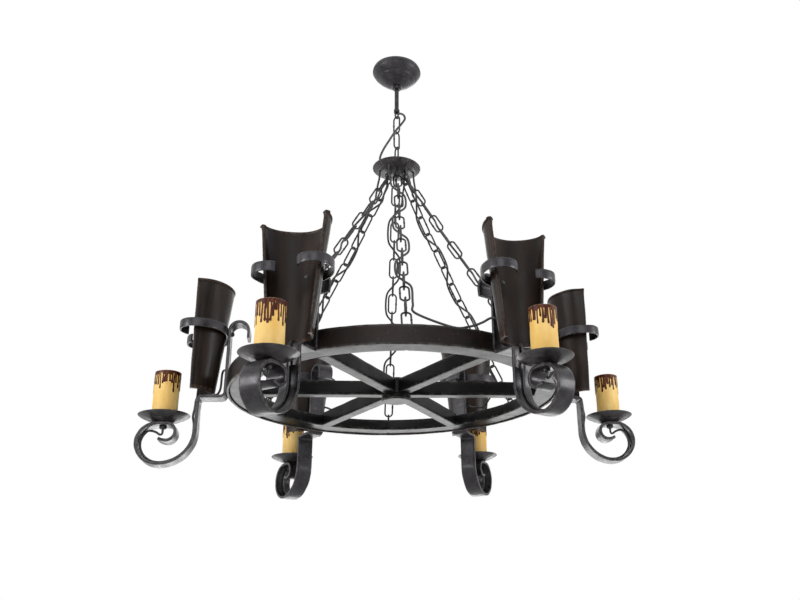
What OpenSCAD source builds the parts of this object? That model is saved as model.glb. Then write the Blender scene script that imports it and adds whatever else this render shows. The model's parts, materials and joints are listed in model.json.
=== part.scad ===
// Wagon wheel chandelier: an iron-tyred wheel hung from a small crown by six
// chains, with six scrolled arms that each carry a half-cone tile, a drip pan
// and a candle sleeve over a lampholder.
// Millimetres, +Z up. The origin is the centre of the ceiling plane, on the stem's axis.

/* [Ceiling cup] */
// Diameter of the ceiling cup at its rim
canopy_d = 92; // [72:1:120]
// Height of the ceiling cup
canopy_h = 40; // [32:1:60]
// Height of the upright band at the cup's rim
canopy_band_h = 8; // [4:1:12]
// Diameter of the cup's narrow end
canopy_neck_d = 20; // [18:1:30]
// Sheet thickness of the cup
canopy_wall = 1.2; // [0.8:0.1:2]
// Diameter of the collar under the cup
collar_d = 16; // [14:1:18]
// Height of the collar
collar_h = 6; // [5.5:0.5:10]

/* [Ceiling bracket] */
// Length of the ceiling bracket
bracket_l = 76; // [66:1:80]
// Width of the bracket's strip
bracket_w = 16; // [14:1:20]
// Thickness of the bracket's strip
bracket_t = 2; // [1.5:0.5:3]
// Distance between the two ceiling screws
bracket_hole_pitch = 62; // [58:1:66]
// Diameter of the ceiling screw holes
bracket_hole_d = 4.5; // [4:0.5:5]
// How far the bracket's web stands off the ceiling
bracket_web_drop = 16; // [14:1:20]

/* [Stem] */
// Outer diameter of the stem tube
stem_d = 8; // [7:0.5:10]
// Bore of the stem tube
stem_bore = 5.5; // [5:0.5:6]
// Distance from the ceiling to the stem's lower end
stem_drop = 98; // [90:1:200]
// Depth of the loop under the stem's end
stem_loop_h = 12; // [10:0.5:16]
// Diameter of the supply cable
supply_cable_d = 4; // [3.5:0.5:5]

/* [Chain] */
// Wire diameter of every link and eye
link_wire = 3; // [2.5:0.1:3.2]
// Inner length of a link
link_inner = 34; // [30:1:40]
// Inner width of a link
link_inner_w = 11; // [10:0.5:14]
// Number of links in each of the six wheel chains
chain_links = 13; // [9:2:17]
// Sag of a wheel chain under its own weight
chain_sag = 6; // [0:1:12]
// Bend radius of an eye's wire centre line
eye_r = 5.5; // [5:0.1:6]
// Diameter of a lamp lead
lead_d = 3.6; // [3:0.1:4]

/* [Crown] */
// Diameter of the crown dish
crown_d = 88; // [80:1:110]
// Depth of the crown dish
crown_depth = 13; // [9:1:18]
// Sheet thickness of the crown dish
crown_wall = 1.5; // [1:0.1:2.5]
// Number of scallops round the crown's rim
crown_scallops = 48; // [24:6:60]
// Radius of one scallop
crown_scallop_r = 1.8; // [1:0.1:2.5]
// Radius of the circle on which the six chain eyes hang
crown_eye_pcr = 18; // [17:0.5:22]

/* [Wheel] */
// Outer diameter of the iron tyre
wheel_d = 540; // [480:5:640]
// Height of the tyre's band
tyre_h = 30; // [26:1:40]
// Thickness of the tyre's band
tyre_t = 4; // [3:0.5:6]
// Radial width of the felloe ring
felloe_w = 35; // [30:1:45]
// Height of the felloe ring
felloe_h = 20; // [16:1:24]
// How far the felloe's underside stands above the tyre's edge
felloe_lift = 2; // [1:0.5:4]
// Rounding of the felloe's edges
felloe_round = 3; // [1:0.5:4]
// Width of a spoke
spoke_w = 20; // [14:1:26]
// Height of a spoke
spoke_h = 24; // [18:1:26]
// Diameter of the hub
hub_d = 48; // [44:1:70]
// How far the hub stands below the spokes
hub_drop = 9; // [4:1:16]
// Distance of the chain anchors from the wheel's axis
anchor_r = 250; // [215:1:300]

/* [Arms] */
// Width of the arm's flat bar
arm_w = 30; // [24:1:34]
// Thickness of the arm's flat bar
arm_t = 5; // [4:0.5:6]
// Height of the arm's top curl over the tyre's lower edge
arm_rise = 127; // [120:1:170]
// Bend radius of the top curl
curl_r = 15; // [12:1:20]
// Straight end of the top curl
curl_tail = 13; // [6:1:20]
// Length of the shelf's straight part
shelf_l = 28.5; // [24:0.5:36]
// Length of the straight drop under the shelf
arm_drop = 49.5; // [40:0.5:70]
// Radius of the scroll's first, wide bend
scroll_low_r = 52; // [48:1:60]
// Radius of the scroll's outer bend
scroll_out_r = 34; // [31:1:38]
// Radius of the scroll's upper bend
scroll_top_r = 29; // [27:1:33]
// Length of the scroll's flat seat under the drip pan
scroll_seat = 13.4; // [12:0.2:15]
// Radius of the scroll's inner curl
scroll_curl_r = 14; // [13:0.5:15]

/* [Tiles and clasps] */
// Height of a tile
tile_h = 179.5; // [150:0.5:200]
// Outer radius of a tile at its foot
tile_r_foot = 35; // [30:0.5:38]
// Outer radius of a tile at its top
tile_r_top = 54; // [48:0.5:56]
// Wall of a tile
tile_wall = 4; // [3:0.5:5]
// Angle that a tile wraps round
tile_arc = 176; // [150:1:184]
// Radius of the rolled lip at a tile's top
tile_lip_r = 2.2; // [1:0.1:3]
// Gap between the shelf and the tile's foot, through which the lead runs
tile_lift = 4.5; // [4.5:0.5:8]
// Height of the clasps' middle over the tyre's lower edge
clasp_z = 106; // [90:1:106]
// Height of the clasp's strap
clasp_w = 15; // [12:1:18]
// Thickness of the clasp's strap
clasp_t = 3; // [2.5:0.5:4]
// Radius of the curls at the clasp's ends
clasp_curl_r = 23; // [20:0.5:25]
// Half length of the clasp's flat back
clasp_flat = 14; // [10:0.5:18]
// How far the clasp's curls stand out beside the tile
clasp_spread = 13.5; // [11:0.5:18]

/* [Lamps] */
// Diameter of a drip pan
pan_d = 78.5; // [70:0.5:90]
// Depth of a drip pan
pan_depth = 13; // [9:0.5:16]
// Sheet thickness of a drip pan
pan_wall = 1.2; // [1:0.1:2]
// Outer diameter of a candle sleeve
candle_d = 40; // [39:0.5:44]
// Wall of a candle sleeve
candle_wall = 2; // [1.5:0.1:2.2]
// Height of a candle sleeve
candle_h = 78; // [76:1:130]
// Outer diameter of a lampholder
holder_d = 33; // [31:0.5:34]
// Height of a lampholder over the drip pan
holder_h = 70; // [66:1:74]
// Radius of the lamp cap's bore
lamp_bore_r = 13.5; // [13:0.1:14]
// Depth of the lamp cap's bore
lamp_bore_h = 28; // [24:1:30]

/* [Hidden] */

$fn = 96;

iron = "#3c3d3e";
black_iron = "#262423";
clay = "#3a302b";
wax = "#e6c078";
bakelite = "#2a2522";
flex = "#1c1c1c";
bright = "#8c8c88";

// Clearances
slide_gap = 0.3;
touch_gap = 0.15;
hole_gap = 0.2;
seat_gap = 0.1;
cut = 1;

arm_count = 6;
arm_step = 360 / arm_count;
half_step = arm_step / 2;

// Ceiling parts
bracket_flat = 12;
bracket_slope = 4;
locknut_af = 13;
locknut_h = 4;
stem_top = bracket_web_drop - locknut_h;
grub_d = 4;
ceiling_terminal_l = 12;
ceiling_terminal_w = 14;
ceiling_terminal_h = 9;
canopy_steps = 10;
canopy_swell = 0.55;
ceiling_terminal_gap = 1.5;
ceiling_terminal_pitch = 7;
ceiling_terminal_bore = 3;
collar_edge = 1.5;
grub_proud = 1.2;

// Stem loop: a ferrule with a wire loop that the first link hangs in
ferrule_wall = 1.5;
ferrule_h = 6;
loop_r = 4;
loop_z = -stem_drop - stem_loop_h;

// Hanging links: wire centre line heights
link_r = link_wire / 2;
link_half = link_inner / 2 + link_r;
link_bend = link_inner_w / 2 + link_r;
link_step = link_inner - touch_gap;
hook_z = loop_z + link_wire + touch_gap;
upper_z = hook_z - link_half;
middle_z = upper_z - link_step;
lower_z = middle_z - link_step;
upper_yaw = -45;
middle_yaw = 45;
lower_yaw = 110;

// Crown
crown_eye_z = lower_z - link_half + link_wire + touch_gap - eye_r;
crown_neck = 14;
crown_base_z = crown_eye_z - eye_r - crown_neck;
crown_rim_z = crown_base_z + crown_depth;
crown_sphere_r = (pow(crown_d / 2, 2) + pow(crown_depth, 2)) / (2 * crown_depth);
crown_bolt_d = 5;
crown_nut_af = 9;
crown_nut_h = 4;
crown_bolt_tail = 2;
crown_flange_h = 2;
crown_eye_shank = 6;
small_bolt_d = 4;
small_nut_af = 7;
small_nut_h = 3;
terminal_r = 13;
terminal_bore_r = 5;
terminal_h = 8;
lead_hole_gap = 0.6;
lead_hole_r = lead_d / 2 + lead_hole_gap;
lead_hole_pcr = 31;
function crown_out_z(r) = crown_base_z + crown_sphere_r
    - sqrt(pow(crown_sphere_r, 2) - pow(r, 2));
function crown_in_z(r) = crown_base_z + crown_sphere_r
    - sqrt(pow(crown_sphere_r - crown_wall, 2) - pow(r, 2));
chain_eye_z = crown_out_z(crown_eye_pcr) - crown_eye_shank - eye_r;
terminal_z = crown_in_z(terminal_r);

// Wheel chains: a straight line of the chain's length, with a little sag
eye_gap = eye_r - link_wire - touch_gap;
chain_l = 2 * eye_gap + 2 * link_half + (chain_links - 1) * link_step;
chain_dr = anchor_r - crown_eye_pcr;
chain_dz = sqrt(pow(chain_l, 2) - pow(chain_dr, 2));
chain_ur = chain_dr / chain_l;
chain_uz = -chain_dz / chain_l;
chain_tilt = atan2(chain_dr, chain_dz);
anchor_z = chain_eye_z - chain_dz;
anchor_lift = 8;
anchor_depth = 12;
anchor_washer_h = 1;
function chain_off(s) = chain_sag * 4 * (s / chain_l) * (1 - s / chain_l);
function chain_slope(s) = atan(chain_sag * 4 * (1 - 2 * s / chain_l) / chain_l);
// Point at distance s along a chain, side mm sideways, in the chain's own upright plane
function chain_pt(s, side) = [
    crown_eye_pcr + chain_ur * s + chain_uz * chain_off(s),
    side,
    chain_eye_z + chain_uz * s - chain_ur * chain_off(s)];
function link_s(k) = eye_gap + link_half + k * link_step;

// Wheel
wheel_z = anchor_z - anchor_lift - felloe_h - felloe_lift;
wheel_r = wheel_d / 2;
felloe_r = wheel_r - tyre_t;
felloe_in = felloe_r - felloe_w;
hub_edge = 2;
hub_top = 3;

// Arms: the bar's centre line, from the tip of the top curl to the tip of the scroll.
// [length, 0] is a straight part and [radius, angle] is a bend.
arm_r = wheel_r + arm_t / 2;
shelf_bend = 7;
drop_bend = 5;
tip_r = 20;
tip_a = 35;
scroll_close = 1;
curl_z = arm_rise - arm_t / 2 - curl_r;
arm_path = [
    [curl_tail, 0], [curl_r, -180],
    [curl_z + arm_t / 2 - shelf_bend, 0], [shelf_bend, 90],
    [shelf_l, 0], [drop_bend, -90],
    [arm_drop, 0], [scroll_low_r, 90],
    [scroll_out_r, 90], [scroll_top_r, 90], [scroll_seat, 0],
    [scroll_curl_r, 90], [scroll_curl_r - scroll_close, 90], [tip_r, tip_a]];
arm_start = [arm_r - 2 * curl_r, curl_z - curl_tail, 90];
arm_bolt_z = tyre_h / 2;
arm_bolt_d = 5;
arm_bolt_head_d = 10;
arm_bolt_head_h = 2.6;
arm_bolt_grip = 14;
// Position [radius, height, heading] at the end of the first n parts of a bar's path
function bar_end(path, from, n) = n == 0 ? from
    : let (p = bar_end(path, from, n - 1), s = path[n - 1])
        s[1] == 0 ? [p[0] + s[0] * cos(p[2]), p[1] + s[0] * sin(p[2]), p[2]]
        : let (k = sign(s[1]), c = [p[0] - k * s[0] * sin(p[2]), p[1] + k * s[0] * cos(p[2])],
            a = p[2] + s[1])
            [c[0] + k * s[0] * sin(a), c[1] - k * s[0] * cos(a), a];
seat_start = bar_end(arm_path, arm_start, 10);
seat_end = bar_end(arm_path, arm_start, 11);
lamp_r = (seat_start[0] + seat_end[0]) / 2;
lamp_z = seat_start[1] + arm_t / 2;

// Tiles
arm_face = wheel_r + arm_t;
function tile_r(z) = tile_r_foot + (tile_r_top - tile_r_foot) * (z - tile_lift) / tile_h;
tile_axis_r = arm_face + clasp_t + seat_gap + tile_r(clasp_z + clasp_w / 2);
clasp_side_r = tile_r(clasp_z) + clasp_spread - clasp_flat;
clasp_end_a = atan2(4, 3);
tile_screw_d = 4;
tile_screw_head_d = 8;
tile_screw_head_h = 2.4;
tile_nut_af = 7;
tile_nut_h = 3;
tile_screw_tail = 1;

// Lamps
nipple_d = 9.6;
nipple_bore = 6;
nipple_nut_d = 11;
nipple_nut_h = 3;
nipple_tail = 1;
pan_base_r = 11;
pan_lip = 1.5;
pan_mid_r = (pan_base_r + pan_d / 2) / 2;
pan_mid_z = 0.36 * pan_depth;
pan_edge_z = 0.86 * pan_depth;
candle_seat = pan_wall + pan_mid_z * (candle_d / 2 - pan_base_r) / (pan_mid_r - pan_base_r) + seat_gap;
holder_foot_d = 20;
holder_foot_h = 16;

// Cord routes, in round numbers
cord_sides = 8;
supply_route = [
    [0, 0, -94], [0, 0, -99], [2, -2, -101.5], [7, -5, -102.5], [13, -7, -107], [15, -8, -115],
    [12, -12, -124], [6, -15, -135], [-1, -17, -146], [-8, -17, -158], [-15, -15, -170],
    [-22, -13, -182], [-28, -10, -194], [-31, -7, -204], [-29, -4.5, -211], [-22, -4, -213.8],
    [-14, -5, -214.6], [-9, -5, -217.2], [-8.4, -4.8, -222]];
weave_side = 11;
weave_run = 17;
// Distances from a chain's lower end, and sideways, where a lead leaves its chain
lead_off = [[62, 11], [38, 14]];
weave_count = 2 * floor((chain_links - 3) / 4) + 1;
// A lamp lead in the upright plane of its chain: out of the terminal and through the dish
lead_top = [
    [9, -5.2, -224], [12, -7, -222.5], [17, -9.8, -220.5], [22, -12.7, -219.5], [25.5, -14.7, -221],
    [26.8, -15.5, -226], [26.8, -15.5, -234], [28, -15, -244], [32, -13, -258]];
// The same lead at its arm: round the bar, under the tile, over the shelf's end
lead_low = [
    [243, -65, 36], [254, -42, 38], [264, -27, 44], [272.5, -20, 49], [279.5, -15, 49],
    [281, -7, 43], [281, -1, 33], [281, 0, 20], [282, 0, 11], [285.2, 0, 4.6], [290, 0, 2.2],
    [299, 0, 2.1], [307, 0, 2.2], [312.7, 0, 1.3], [316.3, 0, -2.3], [317.8, 0, -8],
    [318.5, 0, -20], [320, 0, -32], [317.6, 0, -46]];
// The lead's way from the scroll up into the nipple
lead_in = [[380, -55.5], [373, -57.5], [367, -61.5], [363.8, -60]];

// ---------- shared shapes ----------

// Flat bar bent along a path in the XY plane, heading +X, its width along Z
module bent_bar(path, t, w, i = 0) {
    if (i < len(path)) {
        size = path[i][0];
        angle = path[i][1];
        if (angle == 0) {
            translate([0, -t / 2, -w / 2])
                cube([size, t, w]);
            translate([size, 0, 0])
                bent_bar(path, t, w, i + 1);
        } else {
            side = sign(angle);
            translate([0, side * size, 0]) {
                rotate([0, 0, side > 0 ? -90 : 90 + angle])
                    rotate_extrude(angle = abs(angle))
                        translate([size - t / 2, -w / 2])
                            square([t, w]);
                rotate([0, 0, angle])
                    translate([0, -side * size, 0])
                        bent_bar(path, t, w, i + 1);
            }
        }
    }
}

// Chain link in the XZ plane, its long axis along Z
module link(half, bend, wire) {
    leg = half - bend;
    for (end = [0, 180])
        rotate([0, end, 0]) {
            translate([0, 0, leg])
                rotate([90, 0, 0])
                    rotate_extrude(angle = 180)
                        translate([bend, 0])
                            circle(d = wire, $fn = 24);
            translate([bend, 0, -leg])
                cylinder(d = wire, h = 2 * leg, $fn = 24);
        }
}

// Closed eye in the XZ plane
module eye(r, wire) {
    rotate([90, 0, 0])
        rotate_extrude()
            translate([r, 0])
                circle(d = wire, $fn = 24);
}

module hex_nut(af, h, bore) {
    difference() {
        cylinder(d = af / cos(30), h = h, $fn = 6);
        translate([0, 0, -cut])
            cylinder(d = bore, h = h + 2 * cut);
    }
}

// Places its children at arm n, in the arm's own frame on the tyre's lower plane
module at_arm(n) {
    rotate([0, 0, n * arm_step])
        translate([0, 0, wheel_z])
            children();
}

// Unit vectors and a tube swept along points, with frames carried from ring to ring
function unit(v) = v / norm(v);
function heading(p, i) = i == 0 ? unit(p[1] - p[0])
    : i == len(p) - 1 ? unit(p[i] - p[i - 1])
    : unit(unit(p[i] - p[i - 1]) + unit(p[i + 1] - p[i]));
function side_of(t, n) = unit(n - t * (n * t));
function carried(p, n, i = 0) = i == len(p) ? []
    : let (s = side_of(heading(p, i), n)) concat([s], carried(p, s, i + 1));
module cord(p, d, start = [0, 1, 0]) {
    normals = carried(p, start);
    points = [for (i = [0:len(p) - 1])
        let (t = heading(p, i), n = normals[i], b = cross(t, n))
            for (k = [0:cord_sides - 1])
                p[i] + (n * cos(k * 360 / cord_sides) + b * sin(k * 360 / cord_sides)) * d / 2];
    rings = len(p);
    faces = concat(
        [[for (k = [cord_sides - 1:-1:0]) k]],
        [for (i = [0:rings - 2]) for (k = [0:cord_sides - 1])
            let (a = i * cord_sides, m = (k + 1) % cord_sides)
                [a + k, a + m, a + cord_sides + m, a + cord_sides + k]],
        [[for (k = [0:cord_sides - 1]) (rings - 1) * cord_sides + k]]);
    polyhedron(points = points, faces = faces);
}
function turned(p, a) = [p[0] * cos(a) - p[1] * sin(a), p[0] * sin(a) + p[1] * cos(a), p[2]];

// ---------- ceiling ----------

module ceiling_bracket() {
    foot_in = bracket_l / 2 - bracket_flat;
    web_out = foot_in - bracket_slope;
    low = -bracket_web_drop;
    right = [
        [web_out, low], [foot_in, 0], [bracket_l / 2, 0], [bracket_l / 2, -bracket_t],
        [foot_in + bracket_t / 2, -bracket_t], [web_out + bracket_t / 2, low - bracket_t]];
    left = [for (k = [len(right) - 1:-1:0]) [-right[k][0], right[k][1]]];
    color(bright)
        difference() {
            rotate([90, 0, 0])
                linear_extrude(height = bracket_w, center = true)
                    polygon(concat(right, left));
            translate([0, 0, low - bracket_t - cut])
                cylinder(d = stem_d + hole_gap, h = bracket_t + 2 * cut);
            for (side = [-1, 1])
                translate([side * bracket_hole_pitch / 2, 0, -bracket_t - cut])
                    cylinder(d = bracket_hole_d, h = bracket_t + 2 * cut);
        }
}

module stem_locknuts() {
    color(bright) {
        translate([0, 0, -bracket_web_drop])
            hex_nut(locknut_af, locknut_h, stem_d);
        translate([0, 0, -bracket_web_drop - bracket_t - locknut_h])
            hex_nut(locknut_af, locknut_h, stem_d);
    }
}

module ceiling_terminal() {
    color("ivory")
        translate([locknut_af / 2 + ceiling_terminal_gap, -ceiling_terminal_w / 2, -bracket_web_drop])
            difference() {
                cube([ceiling_terminal_l, ceiling_terminal_w, ceiling_terminal_h]);
                for (k = [-1, 1])
                    translate([-cut, ceiling_terminal_w / 2 + k * ceiling_terminal_pitch / 2, ceiling_terminal_h / 2])
                        rotate([0, 90, 0])
                            cylinder(d = ceiling_terminal_bore, h = ceiling_terminal_l + 2 * cut, $fn = 24);
            }
}

module stem_tube() {
    color(iron)
        translate([0, 0, -stem_drop])
            difference() {
                cylinder(d = stem_d, h = stem_drop - stem_top);
                translate([0, 0, -cut])
                    cylinder(d = stem_bore, h = stem_drop + 2 * cut);
            }
}

module stem_loop() {
    leg = loop_z + loop_r;
    color(iron)
        rotate([0, 0, middle_yaw]) {
            translate([0, 0, -stem_drop])
                difference() {
                    cylinder(d = stem_d + 2 * ferrule_wall, h = ferrule_h);
                    translate([0, 0, -cut])
                        cylinder(d = stem_d, h = ferrule_h + 2 * cut);
                }
            for (side = [-1, 1])
                translate([side * loop_r, 0, leg])
                    cylinder(d = link_wire, h = -stem_drop - leg, $fn = 24);
            translate([0, 0, leg])
                rotate([-90, 0, 0])
                    rotate_extrude(angle = 180)
                        translate([loop_r, 0])
                            circle(d = link_wire, $fn = 24);
        }
}

module supply_cable() {
    color(flex)
        cord(supply_route, supply_cable_d);
}

// Radius of the cup at depth z: an upright band, then a swelling side down to the neck
function canopy_r(z) = z <= canopy_band_h ? canopy_d / 2
    : let (f = (z - canopy_band_h) / (canopy_h - canopy_band_h))
        canopy_d / 2 - (canopy_d - canopy_neck_d) / 2 * ((1 - canopy_swell) * f + canopy_swell * pow(f, 2));

module canopy() {
    depths = concat([0], [for (k = [0:canopy_steps])
        canopy_band_h + (canopy_h - canopy_band_h) * k / canopy_steps]);
    last = canopy_h - canopy_wall;
    inner = [for (z = depths) if (z < last) [canopy_r(z) - canopy_wall, -z]];
    color(iron)
        rotate_extrude()
            polygon(concat(
                [for (z = depths) [canopy_r(z), -z]],
                [[stem_d / 2 + slide_gap, -canopy_h], [stem_d / 2 + slide_gap, -last],
                    [canopy_r(last) - canopy_wall, -last]],
                [for (k = [len(inner) - 1:-1:0]) inner[k]]));
}

module canopy_collar() {
    color(iron)
        translate([0, 0, -canopy_h - collar_h])
            difference() {
                rotate_extrude()
                    polygon([
                        [stem_d / 2 + slide_gap, 0], [collar_d / 2 - collar_edge, 0], [collar_d / 2, collar_edge],
                        [collar_d / 2, collar_h], [stem_d / 2 + slide_gap, collar_h]]);
                translate([0, 0, collar_h / 2])
                    rotate([90, 0, 0])
                        cylinder(d = grub_d, h = collar_d, $fn = 24);
            }
}

module collar_screw() {
    gap = stem_d / 2 + slide_gap;
    color(bright)
        translate([0, 0, -canopy_h - collar_h / 2])
            rotate([90, 0, 0])
                translate([0, 0, gap])
                    cylinder(d = grub_d - seat_gap, h = collar_d / 2 - gap + grub_proud, $fn = 24);
}

// ---------- hanging links ----------

module hanging_link(z, yaw) {
    color(iron)
        translate([0, 0, z])
            rotate([0, 0, yaw])
                link(link_half, link_bend, link_wire);
}

module link_upper() {
    hanging_link(upper_z, upper_yaw);
}

module link_middle() {
    hanging_link(middle_z, middle_yaw);
}

module link_lower() {
    hanging_link(lower_z, lower_yaw);
}

// ---------- crown ----------

module crown_dish() {
    rim_r = crown_d / 2;
    color(iron)
        difference() {
            intersection() {
                translate([0, 0, crown_base_z + crown_sphere_r])
                    sphere(r = crown_sphere_r);
                translate([0, 0, crown_base_z - cut])
                    cylinder(r = rim_r, h = crown_depth + cut);
            }
            translate([0, 0, crown_base_z + crown_sphere_r])
                sphere(r = crown_sphere_r - crown_wall);
            for (k = [0:crown_scallops - 1])
                rotate([0, 0, k * 360 / crown_scallops])
                    translate([rim_r + crown_scallop_r / 3, 0, crown_base_z])
                        cylinder(r = crown_scallop_r, h = crown_depth + cut, $fn = 24);
            translate([0, 0, crown_base_z - cut])
                cylinder(d = crown_bolt_d + hole_gap, h = crown_depth);
            for (n = [0:arm_count - 1]) {
                rotate([0, 0, half_step + n * arm_step])
                    translate([crown_eye_pcr, 0, crown_base_z - cut])
                        cylinder(d = small_bolt_d + hole_gap, h = crown_depth + cut);
                rotate([0, 0, n * arm_step])
                    translate([lead_hole_pcr, 0, crown_base_z - cut])
                        cylinder(r = lead_hole_r, h = crown_depth + cut);
            }
        }
}

module crown_eyebolt() {
    flange_r = terminal_bore_r - slide_gap;
    color(iron) {
        translate([0, 0, crown_eye_z])
            rotate([0, 0, lower_yaw - 90])
                eye(eye_r, link_wire);
        translate([0, 0, crown_base_z - crown_nut_h - crown_bolt_tail])
            cylinder(d = crown_bolt_d, h = crown_eye_z - eye_r - crown_base_z + crown_nut_h + crown_bolt_tail);
        translate([0, 0, crown_base_z - crown_nut_h])
            cylinder(d = crown_nut_af / cos(30), h = crown_nut_h, $fn = 6);
        translate([0, 0, crown_in_z(flange_r) + seat_gap])
            cylinder(r = flange_r, h = crown_flange_h);
    }
}

module crown_chain_eyes() {
    nut_z = crown_in_z(crown_eye_pcr - small_nut_af / 2);
    color(iron)
        for (n = [0:arm_count - 1])
            rotate([0, 0, half_step + n * arm_step])
                translate([crown_eye_pcr, 0, 0]) {
                    translate([0, 0, chain_eye_z])
                        eye(eye_r, link_wire);
                    translate([0, 0, chain_eye_z + eye_r])
                        cylinder(d = small_bolt_d, h = nut_z + small_nut_h - chain_eye_z - eye_r);
                    translate([0, 0, crown_in_z(crown_eye_pcr + small_nut_af / 2) + seat_gap])
                        cylinder(d = small_nut_af, h = small_nut_h);
                }
}

module crown_terminal() {
    color(bakelite)
        translate([0, 0, terminal_z])
            difference() {
                cylinder(r = terminal_r, h = terminal_h);
                translate([0, 0, -cut])
                    cylinder(r = terminal_bore_r, h = terminal_h + 2 * cut);
            }
}

// ---------- wheel chains ----------

module wheel_chain(n) {
    color(iron)
        rotate([0, 0, half_step + n * arm_step])
            for (k = [0:chain_links - 1])
                let (s = link_s(k))
                    translate(chain_pt(s, 0))
                        rotate([0, chain_slope(s) - chain_tilt, 0])
                            rotate([0, 0, k % 2 == 0 ? 90 : 0])
                                link(link_half, link_bend, link_wire);
}

module chain_1() {
    wheel_chain(0);
}

module chain_2() {
    wheel_chain(1);
}

module chain_3() {
    wheel_chain(2);
}

module chain_4() {
    wheel_chain(3);
}

module chain_5() {
    wheel_chain(4);
}

module chain_6() {
    wheel_chain(5);
}

module rim_eyes() {
    color(iron)
        for (n = [0:arm_count - 1])
            rotate([0, 0, half_step + n * arm_step])
                translate([anchor_r, 0, anchor_z]) {
                    eye(eye_r, link_wire);
                    translate([0, 0, -anchor_lift - anchor_depth])
                        cylinder(d = small_bolt_d, h = anchor_lift + anchor_depth - eye_r);
                    translate([0, 0, -anchor_lift])
                        cylinder(d = 2 * small_bolt_d, h = anchor_washer_h);
                }
}

// ---------- wheel ----------

module tyre() {
    color(black_iron)
        translate([0, 0, wheel_z])
            difference() {
                rotate_extrude($fn = 180)
                    translate([wheel_r - tyre_t, 0])
                        square([tyre_t, tyre_h]);
                for (n = [0:arm_count - 1])
                    rotate([0, 0, n * arm_step])
                        translate([wheel_r - tyre_t - cut, 0, arm_bolt_z])
                            rotate([0, 90, 0])
                                cylinder(d = arm_bolt_d + hole_gap, h = tyre_t + 2 * cut);
            }
}

// Felloe section with rounded edges
module felloe_section() {
    r = felloe_round;
    translate([felloe_in, 0]) {
        translate([r, 0])
            square([felloe_w - 2 * r, felloe_h]);
        translate([0, r])
            square([felloe_w, felloe_h - 2 * r]);
        for (x = [r, felloe_w - r], y = [r, felloe_h - r])
            translate([x, y])
                circle(r = r, $fn = 32);
    }
}

module felloe() {
    color(black_iron)
        translate([0, 0, wheel_z + felloe_lift])
            difference() {
                rotate_extrude($fn = 180)
                    felloe_section();
                for (n = [0:arm_count - 1]) {
                    rotate([0, 0, half_step + n * arm_step])
                        translate([anchor_r, 0, felloe_h - anchor_depth - seat_gap])
                            cylinder(d = small_bolt_d + seat_gap, h = anchor_depth + cut);
                    rotate([0, 0, n * arm_step])
                        translate([felloe_r - arm_bolt_grip - seat_gap, 0, arm_bolt_z - felloe_lift])
                            rotate([0, 90, 0])
                                cylinder(d = arm_bolt_d + seat_gap, h = arm_bolt_grip + cut);
                }
            }
}

module spokes() {
    color(black_iron)
        for (n = [0:arm_count - 1])
            rotate([0, 0, n * arm_step])
                translate([0, -spoke_w / 2, wheel_z + felloe_lift])
                    difference() {
                        translate([hub_d / 2 - cut, 0, 0])
                            cube([felloe_in - hub_d / 2 + 2 * cut, spoke_w, spoke_h]);
                        translate([0, spoke_w / 2, -cut]) {
                            cylinder(d = hub_d, h = spoke_h + 2 * cut);
                            difference() {
                                cylinder(r = felloe_r, h = spoke_h + 2 * cut, $fn = 180);
                                translate([0, 0, -cut])
                                    cylinder(r = felloe_in, h = spoke_h + 4 * cut, $fn = 180);
                            }
                        }
                    }
}

module hub() {
    low = wheel_z + felloe_lift - hub_drop;
    color(black_iron)
        translate([0, 0, low])
            rotate_extrude()
                polygon([
                    [0, 0], [hub_d / 2 - hub_edge, 0], [hub_d / 2, hub_edge],
                    [hub_d / 2, hub_drop + spoke_h], [hub_d / 2 - hub_edge, hub_drop + spoke_h + hub_top],
                    [0, hub_drop + spoke_h + hub_top]]);
}

// ---------- arms ----------

module arm_holes() {
    translate([arm_face - arm_t - cut, 0, arm_bolt_z])
        rotate([0, 90, 0])
            cylinder(d = arm_bolt_d + hole_gap, h = arm_t + 2 * cut);
    translate([arm_face - arm_bolt_head_h, 0, arm_bolt_z])
        rotate([0, 90, 0])
            cylinder(d1 = arm_bolt_d + hole_gap, d2 = arm_bolt_head_d + hole_gap, h = arm_bolt_head_h);
    translate([arm_face - arm_t - cut, 0, clasp_z])
        rotate([0, 90, 0])
            cylinder(d = tile_screw_d + hole_gap, h = arm_t + 2 * cut);
    translate([lamp_r, 0, lamp_z - arm_t - cut])
        cylinder(d = nipple_d + hole_gap, h = arm_t + 2 * cut);
}

module arm(n) {
    color(iron)
        at_arm(n)
            difference() {
                translate([arm_start[0], 0, arm_start[1]])
                    rotate([90, 0, 0])
                        rotate([0, 0, arm_start[2]])
                            bent_bar(arm_path, arm_t, arm_w);
                arm_holes();
            }
}

module arm_1() {
    arm(0);
}

module arm_2() {
    arm(1);
}

module arm_3() {
    arm(2);
}

module arm_4() {
    arm(3);
}

module arm_5() {
    arm(4);
}

module arm_6() {
    arm(5);
}

module arm_bolts() {
    color(iron)
        for (n = [0:arm_count - 1])
            at_arm(n)
                translate([arm_face, 0, arm_bolt_z])
                    rotate([0, -90, 0]) {
                        cylinder(d1 = arm_bolt_head_d, d2 = arm_bolt_d, h = arm_bolt_head_h);
                        cylinder(d = arm_bolt_d, h = arm_t + tyre_t + arm_bolt_grip);
                    }
}

// ---------- tiles and clasps ----------

module clasp_half() {
    translate([arm_face + clasp_t / 2, 0, clasp_z])
        rotate([0, 0, 90])
            bent_bar([
                [clasp_flat, 0], [clasp_side_r, -90],
                [clasp_curl_r, -90], [clasp_curl_r, -clasp_end_a]], clasp_t, clasp_w);
}

module tile_clasps() {
    color(iron)
        for (n = [0:arm_count - 1])
            at_arm(n)
                difference() {
                    union() {
                        clasp_half();
                        mirror([0, 1, 0])
                            clasp_half();
                    }
                    translate([arm_face - cut, 0, clasp_z])
                        rotate([0, 90, 0])
                            cylinder(d = tile_screw_d + hole_gap, h = clasp_t + 2 * cut);
                }
}

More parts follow.
